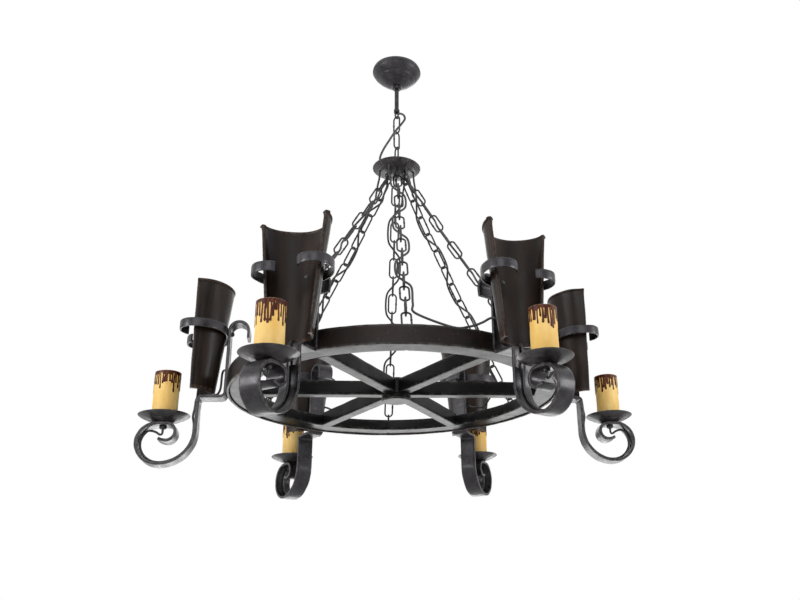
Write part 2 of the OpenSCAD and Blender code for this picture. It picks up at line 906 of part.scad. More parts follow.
module tile(n) {
    from = 180 - tile_arc / 2;
    color(clay)
        at_arm(n)
            difference() {
                translate([tile_axis_r, 0, tile_lift])
                    rotate([0, 0, from]) {
                        rotate_extrude(angle = tile_arc)
                            polygon([
                                [tile_r_foot - tile_wall, 0], [tile_r_foot, 0],
                                [tile_r_top, tile_h], [tile_r_top - tile_wall, tile_h]]);
                        rotate_extrude(angle = tile_arc)
                            translate([tile_r_top - tile_lip_r / 2, tile_h - tile_lip_r])
                                circle(r = tile_lip_r, $fn = 32);
                    }
                translate([arm_face, 0, clasp_z])
                    rotate([0, 90, 0])
                        cylinder(d = tile_screw_d + hole_gap, h = tile_axis_r - arm_face);
            }
}

module tile_1() {
    tile(0);
}

module tile_2() {
    tile(1);
}

module tile_3() {
    tile(2);
}

module tile_4() {
    tile(3);
}

module tile_5() {
    tile(4);
}

module tile_6() {
    tile(5);
}

module tile_screws() {
    head_r = tile_axis_r - tile_r(clasp_z - tile_screw_head_d / 2) + tile_wall + slide_gap;
    back_r = arm_face - arm_t;
    color(bright)
        for (n = [0:arm_count - 1])
            at_arm(n)
                translate([0, 0, clasp_z])
                    rotate([0, 90, 0]) {
                        translate([0, 0, head_r])
                            cylinder(d1 = tile_screw_head_d, d2 = tile_screw_head_d / 2, h = tile_screw_head_h);
                        translate([0, 0, back_r - tile_nut_h - tile_screw_tail])
                            cylinder(d = tile_screw_d, h = head_r - back_r + tile_nut_h + tile_screw_tail);
                        translate([0, 0, back_r - tile_nut_h])
                            rotate([0, 0, 30])
                                cylinder(d = tile_nut_af / cos(30), h = tile_nut_h, $fn = 6);
                    }
}

// ---------- lamps ----------

module drip_pan(n) {
    rim = pan_d / 2;
    bore = nipple_d / 2 + seat_gap;
    color(iron)
        at_arm(n)
            translate([lamp_r, 0, lamp_z])
                rotate_extrude()
                    polygon([
                        [bore, 0], [pan_base_r, 0], [pan_mid_r, pan_mid_z],
                        [rim - pan_lip, pan_edge_z], [rim, pan_depth], [rim - pan_wall, pan_depth],
                        [rim - pan_lip - pan_wall / 2, pan_edge_z + pan_wall],
                        [pan_mid_r, pan_mid_z + pan_wall], [pan_base_r, pan_wall], [bore, pan_wall]]);
}

module drip_pan_1() {
    drip_pan(0);
}

module drip_pan_2() {
    drip_pan(1);
}

module drip_pan_3() {
    drip_pan(2);
}

module drip_pan_4() {
    drip_pan(3);
}

module drip_pan_5() {
    drip_pan(4);
}

module drip_pan_6() {
    drip_pan(5);
}

module lampholders() {
    mouth = pan_wall + holder_h;
    color(bakelite)
        for (n = [0:arm_count - 1])
            at_arm(n)
                translate([lamp_r, 0, lamp_z])
                    difference() {
                        union() {
                            translate([0, 0, pan_wall])
                                cylinder(d = holder_foot_d, h = holder_foot_h);
                            translate([0, 0, pan_wall + holder_foot_h])
                                cylinder(d = holder_d, h = holder_h - holder_foot_h);
                        }
                        translate([0, 0, mouth - lamp_bore_h])
                            cylinder(r = lamp_bore_r, h = lamp_bore_h + cut);
                        translate([0, 0, pan_wall - cut])
                            cylinder(d = nipple_d, h = holder_foot_h / 2 + cut);
                    }
}

module lampholder_nipples() {
    low = -arm_t - nipple_nut_h - nipple_tail;
    color(bright)
        for (n = [0:arm_count - 1])
            at_arm(n)
                translate([lamp_r, 0, lamp_z])
                    difference() {
                        union() {
                            translate([0, 0, low])
                                cylinder(d = nipple_d, h = pan_wall + holder_foot_h / 2 - low);
                            translate([0, 0, -arm_t - nipple_nut_h])
                                cylinder(d = nipple_nut_d, h = nipple_nut_h);
                        }
                        translate([0, 0, low - cut])
                            cylinder(d = nipple_bore, h = pan_wall + holder_foot_h / 2 - low + 2 * cut);
                    }
}

module candle(n) {
    color(wax)
        at_arm(n)
            translate([lamp_r, 0, lamp_z + candle_seat])
                difference() {
                    cylinder(d = candle_d, h = candle_h);
                    translate([0, 0, -cut])
                        cylinder(d = candle_d - 2 * candle_wall, h = candle_h + 2 * cut);
                }
}

module candle_1() {
    candle(0);
}

module candle_2() {
    candle(1);
}

module candle_3() {
    candle(2);
}

module candle_4() {
    candle(3);
}

module candle_5() {
    candle(4);
}

module candle_6() {
    candle(5);
}

// Stations of the weave: through every second link from side to side
function weave(n) = [for (j = [0:n - 1])
    let (s = link_s(2 * j + 1), k = j % 2 == 0 ? 1 : -1)
        for (e = [-1, 0, 1]) chain_pt(s + e * weave_run, e * k * weave_side)];
// Points on the inner side of one bend of the scroll
function along(i, gap, angles) =
    let (p = bar_end(arm_path, arm_start, i), r = arm_path[i][0],
        c = [p[0] - r * sin(p[2]), p[1] + r * cos(p[2])])
        [for (a = angles)
            [c[0] + (r - gap) * sin(p[2] + a), 0, c[1] - (r - gap) * cos(p[2] + a)]];

module lamp_leads() {
    gap = arm_t / 2 + lead_d / 2 + touch_gap;
    inside = concat(along(7, gap, [8, 26, 44, 62, 80]), along(8, gap, [8, 30, 52, 74]),
        along(9, gap, [6, 28, 50]), [for (p = lead_in) [p[0], 0, p[1]]],
        [[lamp_r, 0, lamp_z - arm_t - nipple_nut_h - nipple_tail], [lamp_r, 0, lamp_z - arm_t]]);
    arm_part = [for (p = concat(lead_low, inside)) turned([p[0], p[1], p[2] + wheel_z], half_step)];
    color(flex)
        for (n = [0:arm_count - 1])
            rotate([0, 0, half_step + n * arm_step])
                cord(concat(lead_top, weave(weave_count),
                    [for (p = lead_off) chain_pt(chain_l - p[0], p[1])],
                    arm_part), lead_d);
}

ceiling_bracket();
stem_locknuts();
ceiling_terminal();
stem_tube();
stem_loop();
supply_cable();
canopy();
canopy_collar();
collar_screw();
link_upper();
link_middle();
link_lower();
crown_dish();
crown_eyebolt();
crown_chain_eyes();
crown_terminal();
chain_1();
chain_2();
chain_3();
chain_4();
chain_5();
chain_6();
rim_eyes();
tyre();
felloe();
spokes();
hub();
arm_1();
arm_2();
arm_3();
arm_4();
arm_5();
arm_6();
arm_bolts();
tile_clasps();
tile_screws();
tile_1();
tile_2();
tile_3();
tile_4();
tile_5();
tile_6();
drip_pan_1();
drip_pan_2();
drip_pan_3();
drip_pan_4();
drip_pan_5();
drip_pan_6();
lampholders();
lampholder_nipples();
candle_1();
candle_2();
candle_3();
candle_4();
candle_5();
candle_6();
lamp_leads();
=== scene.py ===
"""Wagon wheel chandelier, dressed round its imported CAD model.

Every piece is worked out in metres in the row frame: +Z up, the origin on the
ceiling plane at the stem's axis, the first arm along +X. Arms stand every 60
degrees from +X and the wheel chains half way between them.
"""

import json
import logging
import math
from dataclasses import dataclass, field
from enum import Enum

import bpy
import numpy as np
from mathutils import Matrix, Vector


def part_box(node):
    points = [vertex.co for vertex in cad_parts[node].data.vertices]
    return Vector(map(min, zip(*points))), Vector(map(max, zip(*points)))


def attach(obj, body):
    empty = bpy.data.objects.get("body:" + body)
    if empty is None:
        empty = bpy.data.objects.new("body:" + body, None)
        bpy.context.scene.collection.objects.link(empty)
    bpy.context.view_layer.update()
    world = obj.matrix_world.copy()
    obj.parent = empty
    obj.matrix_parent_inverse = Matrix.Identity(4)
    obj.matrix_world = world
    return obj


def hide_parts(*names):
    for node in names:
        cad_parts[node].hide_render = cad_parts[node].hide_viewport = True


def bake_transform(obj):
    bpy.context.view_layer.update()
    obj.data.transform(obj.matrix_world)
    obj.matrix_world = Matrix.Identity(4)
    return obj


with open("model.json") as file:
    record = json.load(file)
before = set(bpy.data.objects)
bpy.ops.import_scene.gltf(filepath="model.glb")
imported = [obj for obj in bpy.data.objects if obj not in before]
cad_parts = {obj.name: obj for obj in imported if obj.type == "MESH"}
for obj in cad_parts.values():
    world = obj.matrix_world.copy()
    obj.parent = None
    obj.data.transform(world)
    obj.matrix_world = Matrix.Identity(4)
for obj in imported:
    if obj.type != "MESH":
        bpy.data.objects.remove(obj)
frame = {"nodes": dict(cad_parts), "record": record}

LOG = logging.getLogger("wagon_wheel_chandelier")
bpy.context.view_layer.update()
MM = 0.001
ARMS = 6
ARM_STEP = math.tau / ARMS
Array = np.ndarray
Colour = tuple[float, float, float]


class Slot(Enum):
    """The record's material slots."""

    IRON = "iron"
    TYRE = "tyre_iron"
    WHEEL = "wheel_wood"
    ZINC = "zinc"
    PORCELAIN = "porcelain"
    HOLDER = "holder"
    CLAY = "clay"
    WAX = "wax"
    FLEX = "flex"


class Body(Enum):
    """The CAD bodies that pieces ride on."""

    STEM = "stem"
    CANOPY = "canopy"
    LINK_UPPER = "link_upper"
    LINK_MIDDLE = "link_middle"
    LINK_LOWER = "link_lower"
    WHEEL = "wheel"


# ---------- arrays and surfaces ----------


def unit(vectors: Array) -> Array:
    """Vectors scaled to length one.

    Args:
        vectors: Any array whose last axis is x, y, z.

    Returns:
        An array of the same shape.
    """
    length = np.linalg.norm(vectors, axis=-1, keepdims=True)
    return vectors / np.maximum(length, 1e-12)


def turn_z(points: Array, angle: float) -> Array:
    """Points turned about the Z axis.

    Args:
        points: Array of points, last axis x, y, z.
        angle: Turn in radians, anticlockwise from above.

    Returns:
        The turned points.
    """
    c, s = math.cos(angle), math.sin(angle)
    return points @ np.array([[c, s, 0.0], [-s, c, 0.0], [0.0, 0.0, 1.0]])


def turn_y(points: Array, angle: float) -> Array:
    """Points turned about the Y axis, +Z towards +X.

    Args:
        points: Array of points, last axis x, y, z.
        angle: Turn in radians.

    Returns:
        The turned points.
    """
    c, s = math.cos(angle), math.sin(angle)
    return points @ np.array([[c, 0.0, -s], [0.0, 1.0, 0.0], [s, 0.0, c]])


def ripple(points: Array, wavelength: float, seed: int, waves: int = 7) -> Array:
    """Smooth noise: 1.8 times the mean of sine waves that run in random directions.

    Args:
        points: Array of points, last axis x, y, z, in metres.
        wavelength: Mean wavelength in metres.
        seed: Seed of the directions and phases.
        waves: Number of waves.

    Returns:
        One value from about -1 to 1 for each point.
    """
    rng = np.random.default_rng(seed)
    directions = unit(rng.normal(size=(waves, 3)))
    numbers = math.tau / (wavelength * rng.uniform(0.6, 1.6, waves))
    phases = rng.uniform(0.0, math.tau, waves)
    return np.sin((points @ directions.T) * numbers + phases).mean(-1) * 1.8


def hammer_marks(points: Array, marks: int, radius: float, seed: int) -> Array:
    """Depth of round hammer marks: (1 - d² / r²)² round each mark, the deepest one counting.

    Blocks of about forty marks keep the table of distances small.

    Args:
        points: Array of surface points, last axis x, y, z.
        marks: Number of marks.
        radius: Mean radius of a mark in metres.
        seed: Seed of the marks' places and sizes.

    Returns:
        One value from 0 to 1 for each point.
    """
    rng = np.random.default_rng(seed)
    flat = points.reshape(-1, 3)
    centres = flat[rng.integers(0, len(flat), marks)]
    radii = radius * rng.uniform(0.7, 1.35, marks)
    depths = rng.uniform(0.4, 1.0, marks)
    depth = np.zeros(len(flat))
    for block in np.array_split(np.arange(marks), max(1, marks // 40)):
        near = ((flat[:, None, :] - centres[None, block]) ** 2).sum(-1) / radii[block] ** 2
        depth = np.maximum(depth, (np.clip(1.0 - near, 0.0, 1.0) ** 2 * depths[block]).max(1))
    return depth.reshape(points.shape[:-1])


def smooth_route(stations: Array, spacing: float) -> Array:
    """A smooth route through stations, resampled at even steps.

    Each stretch is a cubic curve. Its direction at a station is half of the
    way from the station before to the station after.

    Args:
        stations: Points (n, 3) in metres.
        spacing: Distance between the points that come back.

    Returns:
        Points (m, 3) along the route.
    """
    p = np.vstack([2 * stations[0] - stations[1], stations, 2 * stations[-1] - stations[-2]])
    t = np.linspace(0.0, 1.0, 12, endpoint=False)[:, None, None]
    a, b, c, d = p[:-3], p[1:-2], p[2:-1], p[3:]
    curve = 0.5 * (
        2 * b + (c - a) * t + (2 * a - 5 * b + 4 * c - d) * t**2 + (3 * b - a - 3 * c + d) * t**3
    )
    dense = np.vstack([curve.transpose(1, 0, 2).reshape(-1, 3), stations[-1:]])
    run = np.concatenate([[0.0], np.cumsum(np.linalg.norm(np.diff(dense, axis=0), axis=1))])
    steps = np.linspace(0.0, run[-1], max(8, int(round(run[-1] / spacing))) + 1)
    return np.stack([np.interp(steps, run, dense[:, k]) for k in range(3)], axis=1)


def route_length(points: Array) -> float:
    """Length of a polyline in metres."""
    return float(np.linalg.norm(np.diff(points, axis=0), axis=1).sum())


def rounded_section(width: float, height: float, radius: float, step: float) -> tuple[Array, Array]:
    """Outline of a bar's section: a rectangle whose corners are quarter circles.

    Args:
        width: Size along the section's first axis.
        height: Size along its second axis.
        radius: Corner radius.
        step: Spacing of points along the flat sides.

    Returns:
        Points (k, 2) in order round the section, and a value for each that is 1 on the corners.
    """
    a, b = width / 2 - radius, height / 2 - radius
    outline, worn = [], []
    corners = [(a, b, 0.0), (-a, b, 90.0), (-a, -b, 180.0), (a, -b, 270.0)]
    for index, (x, y, start) in enumerate(corners):
        angles = np.radians(start + np.array([0.0, 30.0, 60.0, 90.0]))
        corner = np.stack([x + radius * np.cos(angles), y + radius * np.sin(angles)], 1)
        outline.append(corner)
        worn.append(np.array([0.35, 1.0, 1.0, 0.35]))
        nx, ny, _ = corners[(index + 1) % len(corners)]
        run = math.hypot(nx - x, ny - y)
        count = max(1, int(run / step))
        share = np.arange(1, count)[:, None] / count
        following = np.radians(start + 90.0)
        begin = corner[-1]
        end = np.array([nx + radius * math.cos(following), ny + radius * math.sin(following)])
        outline.append(begin + (end - begin) * share)
        worn.append(np.zeros(count - 1))
    return np.vstack(outline), np.concatenate(worn)


@dataclass
class Grid:
    """A surface sampled on rows and columns of points, with one worn value for each point."""

    points: Array
    wrap_rows: bool = False
    wrap_columns: bool = True
    capped: bool = False
    worn: Array | None = None

    def normals(self) -> Array:
        """Unit normals: the cross product of the differences along columns and along rows.

        Returns:
            An array (rows, columns, 3).
        """
        along = self._difference(0, self.wrap_rows)
        across = self._difference(1, self.wrap_columns)
        return unit(np.cross(along, across)) * self.side()

    def _difference(self, axis: int, wrapped: bool) -> Array:
        """Central differences of the points along one axis.

        Args:
            axis: 0 for rows, 1 for columns.
            wrapped: Whether the grid closes on itself along that axis.

        Returns:
            An array shaped as the points.
        """
        if wrapped:
            return np.roll(self.points, -1, axis) - np.roll(self.points, 1, axis)
        return np.gradient(self.points, axis=axis)

    def side(self) -> float:
        """Which way the plain cross product points, by the sign of the enclosed volume.

        Returns:
            1 or -1, so that the normals of a closed surface point out of it.
        """
        p = self.points - self.points.reshape(-1, 3).mean(0)
        along = self._difference(0, self.wrap_rows)
        across = self._difference(1, self.wrap_columns)
        volume = (np.cross(along, across) * p).sum()
        return 1.0 if volume >= 0 else -1.0

    def push(self, amount: Array) -> "Grid":
        """The grid moved along its normals.

        Args:
            amount: Metres outwards for each point.

        Returns:
            A new grid.
        """
        moved = self.points + self.normals() * amount[..., None]
        return Grid(moved, self.wrap_rows, self.wrap_columns, self.capped, self.worn)

    def placed(self, points: Array) -> "Grid":
        """The same grid on other points.

        Args:
            points: Array shaped as this grid's points.

        Returns:
            A new grid.
        """
        return Grid(points, self.wrap_rows, self.wrap_columns, self.capped, self.worn)

    def faces(self, start: int) -> list[list[int]]:
        """Quads between neighbouring rows and columns, and flat ends if the grid is capped.

        Args:
            start: Index of the grid's first vertex in the piece's mesh.

        Returns:
            Lists of vertex indices, turned so that they face outwards.
        """
        rows, columns = self.points.shape[:2]
        index = np.arange(rows * columns).reshape(rows, columns) + start
        low = index if self.wrap_rows else index[:-1]
        high = np.roll(index, -1, 0) if self.wrap_rows else index[1:]
        if self.wrap_columns:
            quads = [low, high, np.roll(high, -1, 1), np.roll(low, -1, 1)]
        else:
            quads = [low[:, :-1], high[:, :-1], high[:, 1:], low[:, 1:]]
        faces = np.stack(quads, -1).reshape(-1, 4)
        caps = [index[0], index[-1][::-1]] if self.capped else []
        if self.side() < 0:
            faces = faces[:, ::-1]
            caps = [cap[::-1] for cap in caps]
        return faces.tolist() + [cap.tolist() for cap in caps]


def sweep(path: Array, across: Array, section: Array, closed: bool = False) -> Array:
    """A section carried along a path: path + first · normal + second · across.

    The normal is the cross product of the path's direction and the across
    direction, made square to the path.

    Args:
        path: Points (n, 3).
        across: One direction (3,) or one for each point (n, 3).
        section: Points (k, 2), or (n, k, 2) where the section changes along the path.
        closed: Whether the path closes on itself.

    Returns:
        Points (n, k, 3).
    """
    step = np.roll(path, -1, 0) - np.roll(path, 1, 0) if closed else np.gradient(path, axis=0)
    ahead = unit(step)
    normal = unit(np.cross(ahead, np.broadcast_to(across, path.shape)))
    side = np.cross(normal, ahead)
    section = np.broadcast_to(section, (len(path), *section.shape[-2:]))
    return (
        path[:, None, :]
        + normal[:, None, :] * section[..., 0:1]
        + side[:, None, :] * section[..., 1:2]
    )


def revolved(outline: Array, columns: int) -> Array:
    """An outline turned about the Z axis: (r cos a, r sin a, z).

    Args:
        outline: Points (n, 2) of radius and height.
        columns: Number of steps round the axis.

    Returns:
        Points (n, columns, 3).
    """
    angle = np.linspace(0.0, math.tau, columns, endpoint=False)
    r, z = outline[:, 0, None], outline[:, 1, None]
    return np.stack([r * np.cos(angle), r * np.sin(angle), z + 0 * angle], -1)


def circle_section(radius: Array | float, sides: int, rows: int) -> Array:
    """A round section for each row of a tube.

    Args:
        radius: One radius or one for each row.
        sides: Number of points round the section.
        rows: Number of rows.

    Returns:
        Points (rows, sides, 2).
    """
    angle = np.linspace(0.0, math.tau, sides, endpoint=False)
    ring = np.stack([np.cos(angle), np.sin(angle)], -1)
    return ring[None] * np.broadcast_to(radius, (rows,))[:, None, None]


# ---------- materials ----------


class Recipe:
    """One node material, built step by step round a Principled shader.

    A finish's noise scales are in cycles per metre and its relief depths in metres.
    """

    def __init__(self, name: str) -> None:
        """Starts an empty material with its shader and output.

        Args:
            name: Name of the material.
        """
        self.material = bpy.data.materials.new(name)
        self.material.use_nodes = True
        self.tree = self.material.node_tree
        self.tree.nodes.clear()
        self.shader = self.tree.nodes.new("ShaderNodeBsdfPrincipled")
        output = self.tree.nodes.new("ShaderNodeOutputMaterial")
        self.tree.links.new(self.shader.outputs["BSDF"], output.inputs["Surface"])
        self.coordinates = self.tree.nodes.new("ShaderNodeTexCoord")

    def set(self, **values: float | tuple[float, ...]) -> None:
        """Sets constant shader sockets.

        Args:
            values: Values by socket name, with _ for each space.
        """
        for name, value in values.items():
            self.shader.inputs[name.replace("_", " ")].default_value = value

    def link(self, source: bpy.types.NodeSocket, socket: str) -> None:
        """Joins a value to one of the shader's sockets."""
        self.tree.links.new(source, self.shader.inputs[socket])

    def noise(
        self,
        scale: float,
        detail: float = 4.0,
        stretch: tuple[float, float, float] = (1.0, 1.0, 1.0),
        roughness: float = 0.55,
    ) -> bpy.types.NodeSocket:
        """Noise in the piece's own space.

        Args:
            scale: Cycles per metre.
            detail: Number of finer layers.
            stretch: How much faster the noise runs along each axis.
            roughness: Strength of the finer layers.

        Returns:
            The factor, about 0.3 to 0.7.
        """
        mapping = self.tree.nodes.new("ShaderNodeMapping")
        mapping.inputs["Scale"].default_value = stretch
        self.tree.links.new(self.coordinates.outputs["Object"], mapping.inputs["Vector"])
        node = self.tree.nodes.new("ShaderNodeTexNoise")
        node.inputs["Scale"].default_value = scale
        node.inputs["Detail"].default_value = detail
        node.inputs["Roughness"].default_value = roughness
        self.tree.links.new(mapping.outputs["Vector"], node.inputs["Vector"])
        return node.outputs["Fac"]

    def attribute(self, name: str) -> bpy.types.NodeSocket:
        """The value of a mesh attribute.

        Args:
            name: Name of the attribute.

        Returns:
            Its value at each point.
        """
        node = self.tree.nodes.new("ShaderNodeAttribute")
        node.attribute_name = name
        return node.outputs["Fac"]

    def ramp(
        self, source: bpy.types.NodeSocket, low: float, high: float, start: Colour, end: Colour
    ) -> bpy.types.NodeSocket:
        """Colours that run from start at low to end at high.

        Args:
            source: The value that is coloured.
            low: Value at the first colour.
            high: Value at the second colour.
            start: First colour.
            end: Second colour.

        Returns:
            The colour.
        """
        node = self.tree.nodes.new("ShaderNodeValToRGB")
        first, second = node.color_ramp.elements
        first.position, second.position = low, high
        first.color, second.color = (*start, 1.0), (*end, 1.0)
        self.tree.links.new(source, node.inputs["Fac"])
        return node.outputs["Color"]

    def spread(
        self, source: bpy.types.NodeSocket, low: float, high: float, start: float, end: float
    ) -> bpy.types.NodeSocket:
        """A value mapped from low..high to start..end and held at the ends.

        Args:
            source: The value that is mapped.
            low: Its low end.
            high: Its high end.
            start: Result at the low end.
            end: Result at the high end.

        Returns:
            The mapped value.
        """
        node = self.tree.nodes.new("ShaderNodeMapRange")
        for name, value in zip(("From Min", "From Max", "To Min", "To Max"), (low, high, start, end)):
            node.inputs[name].default_value = value
        self.tree.links.new(source, node.inputs["Value"])
        return node.outputs["Result"]

    def times(self, a: bpy.types.NodeSocket, b: bpy.types.NodeSocket) -> bpy.types.NodeSocket:
        """The product of two values.

        Args:
            a: First value.
            b: Second value.

        Returns:
            The product.
        """
        node = self.tree.nodes.new("ShaderNodeMath")
        node.operation = "MULTIPLY"
        self.tree.links.new(a, node.inputs[0])
        self.tree.links.new(b, node.inputs[1])
        return node.outputs["Value"]

    def mix(
        self,
        factor: bpy.types.NodeSocket,
        a: bpy.types.NodeSocket | Colour,
        b: bpy.types.NodeSocket | Colour,
    ) -> bpy.types.NodeSocket:
        """Two colours mixed by a value.

        Args:
            factor: 0 gives the first colour and 1 the second.
            a: First colour.
            b: Second colour.

        Returns:
            The mixed colour.
        """
        node = self.tree.nodes.new("ShaderNodeMix")
        node.data_type = "RGBA"
        self.tree.links.new(factor, node.inputs["Factor"])
        colours = [s for s in node.inputs if s.type == "RGBA"]
        for socket, value in zip(colours, (a, b)):
            if isinstance(value, tuple):
                socket.default_value = (*value, 1.0)
            else:
                self.tree.links.new(value, socket)
        return next(s for s in node.outputs if s.type == "RGBA")

    def bump(
        self,
        height: bpy.types.NodeSocket,
        distance: float,
        strength: float = 1.0,
        below: bpy.types.NodeSocket | None = None,
    ) -> bpy.types.NodeSocket:
        """Fine relief of the surface.

        Args:
            height: Height from 0 to 1.
            distance: Metres that a height of 1 stands for.
            strength: Share of the effect.
            below: Relief that lies under this one.

        Returns:
            The normal.
        """
        node = self.tree.nodes.new("ShaderNodeBump")
        node.inputs["Distance"].default_value = distance
        node.inputs["Strength"].default_value = strength
        self.tree.links.new(height, node.inputs["Height"])
        if below is not None:
            self.tree.links.new(below, node.inputs["Normal"])
        return node.outputs["Normal"]


@dataclass(frozen=True)
class ForgedIron:
    """Black lacquered forged iron: uneven sheen, fine scale pits and rubbed edges."""

    name: str = "forged_iron"
    dark: Colour = (0.0058, 0.0053, 0.0053)
    light: Colour = (0.028, 0.0245, 0.026)
    rubbed: Colour = (0.17, 0.16, 0.155)
    smooth: float = 0.27
    rough: float = 0.52
    patches: float = 60.0
    pits: float = 420.0
    scuffs: float = 160.0
    dents: float = 110.0
    pit_depth: float = 0.04 * MM
    dent_depth: float = 0.4 * MM

    def material(self) -> bpy.types.Material:
        """Builds the material.

        Returns:
            The node material.
        """
        r = Recipe(self.name)
        cloud = r.noise(self.patches, 8.0, roughness=0.66)
        pits = r.noise(self.pits, 2.0)
        base = r.ramp(cloud, 0.40, 0.62, self.dark, self.light)
        specks = r.spread(pits, 0.69, 0.75, 0.0, 0.42)
        base = r.mix(specks, base, self.rubbed)
        scuff = r.spread(r.noise(self.scuffs, 4.0), 0.42, 0.62, 0.0, 0.5)
        base = r.mix(r.times(r.attribute("worn"), scuff), base, self.rubbed)
        r.link(base, "Base Color")
        r.link(r.spread(cloud, 0.35, 0.65, self.smooth, self.rough), "Roughness")
        r.set(Specular_IOR_Level=0.34, Specular_Tint=(0.93, 0.90, 1.0, 1.0))
        r.set(Coat_Weight=0.15, Coat_Roughness=0.2)
        fine = r.bump(pits, self.pit_depth, 0.25)
        r.link(r.bump(r.noise(self.dents, 3.0), self.dent_depth, 0.35, fine), "Normal")
        return r.material


@dataclass(frozen=True)
class StainedHoop:
    """The tyre's black paint with a red-brown stain showing through and a rubbed lower edge."""

    name: str = "stained_hoop"
    dark: Colour = (0.0050, 0.0045, 0.0042)
    stain: Colour = (0.017, 0.0095, 0.0075)
    rubbed: Colour = (0.20, 0.185, 0.17)
    patches: float = 30.0
    specks: float = 520.0
    scuffs: float = 90.0
    grit: float = 260.0
    grit_depth: float = 0.4 * MM

    def material(self) -> bpy.types.Material:
        """Builds the material.

        Returns:
            The node material.
        """
        r = Recipe(self.name)
        cloud = r.noise(self.patches, 6.0, (1.0, 1.0, 1.6))
        base = r.ramp(cloud, 0.38, 0.68, self.dark, self.stain)
        specks = r.spread(r.noise(self.specks, 2.0), 0.70, 0.74, 0.0, 0.6)
        base = r.mix(specks, base, self.rubbed)
        scuff = r.spread(r.noise(self.scuffs, 4.0), 0.38, 0.6, 0.1, 0.8)
        base = r.mix(r.times(r.attribute("worn"), scuff), base, self.rubbed)
        r.link(base, "Base Color")
        r.link(r.spread(cloud, 0.35, 0.65, 0.36, 0.6), "Roughness")
        r.set(Specular_IOR_Level=0.14, Coat_Weight=0.08, Coat_Roughness=0.3)
        r.link(r.bump(r.noise(self.grit, 4.0), self.grit_depth, 0.5), "Normal")
        return r.material


@dataclass(frozen=True)
class PaintedTimber:
    """Turned and planed wood under dark satin paint, with the grain faintly raised."""

    name: str = "painted_timber"
    dark: Colour = (0.0030, 0.0030, 0.0030)
    light: Colour = (0.0080, 0.0080, 0.0078)
    rubbed: Colour = (0.13, 0.125, 0.115)
    grain: tuple[float, float, float] = (1.0, 1.0, 7.0)
    grains: float = 70.0
    patches: float = 16.0
    scuffs: float = 140.0
    grain_depth: float = 0.3 * MM

    def material(self) -> bpy.types.Material:
        """Builds the material.

        Returns:
            The node material.
        """
        r = Recipe(self.name)
        grain = r.noise(self.grains, 5.0, self.grain)
        cloud = r.noise(self.patches, 4.0)
        streaked = r.ramp(grain, 0.3, 0.7, self.dark, self.light)
        base = r.mix(r.spread(cloud, 0.35, 0.65, 0.15, 0.6), streaked, self.light)
        scuff = r.spread(r.noise(self.scuffs, 3.0), 0.45, 0.65, 0.0, 0.5)
        base = r.mix(r.times(r.attribute("worn"), scuff), base, self.rubbed)
        r.link(base, "Base Color")
        r.link(r.spread(grain, 0.3, 0.7, 0.26, 0.42), "Roughness")
        r.set(Specular_IOR_Level=0.03, Coat_Weight=0.33, Coat_Roughness=0.28, Coat_IOR=1.26)
        r.link(r.bump(grain, self.grain_depth, 0.5), "Normal")
        return r.material


@dataclass(frozen=True)
class BrownGlaze:
    """Fired clay under a thin dark brown glaze, with warmer upright streaks that are partly the glaze's
    own runs and partly painted soft highlights.
    """

    name: str = "brown_glaze"
    dark: Colour = (0.0070, 0.0048, 0.0040)
    # Colour of the upright streaks: the glaze's warmer brown, lightened by painted soft highlights.
    warm_glaze_and_sheen: Colour = (0.027, 0.0145, 0.0095)
    bare: Colour = (0.16, 0.105, 0.075)
    run_and_sheen_streaks: float = 55.0
    patches: float = 22.0
    chips: float = 210.0
    grit: float = 420.0
    grit_depth: float = 0.3 * MM
    waves: float = 60.0
    wave_depth: float = 1.2 * MM

    def material(self) -> bpy.types.Material:
        """Builds the material.

        Returns:
            The node material.
        """
        r = Recipe(self.name)
        # Upright streaks from dark to warmer brown: partly the glaze's runs, partly painted soft
        # highlights.
        streak_and_sheen = r.noise(self.run_and_sheen_streaks, 4.0, (1.0, 1.0, 0.12))
        cloud = r.noise(self.patches, 4.0)
        base = r.ramp(streak_and_sheen, 0.34, 0.68, self.dark, self.warm_glaze_and_sheen)
        base = r.mix(r.spread(cloud, 0.4, 0.7, 0.0, 0.5), base, self.dark)
        chip = r.spread(r.noise(self.chips, 4.0), 0.44, 0.6, 0.0, 0.7)
        base = r.mix(r.times(r.attribute("worn"), chip), base, self.bare)
        r.link(base, "Base Color")
        r.link(r.spread(streak_and_sheen, 0.35, 0.65, 0.30, 0.50), "Roughness")
        r.set(Specular_IOR_Level=0.15, Coat_Weight=0.06, Coat_Roughness=0.3)
        fine = r.bump(r.noise(self.grit, 3.0), self.grit_depth, 0.45)
        wave = r.noise(self.waves, 3.0, (1.0, 1.0, 0.3))
        r.link(r.bump(wave, self.wave_depth, 0.4, fine), "Normal")
        return r.material


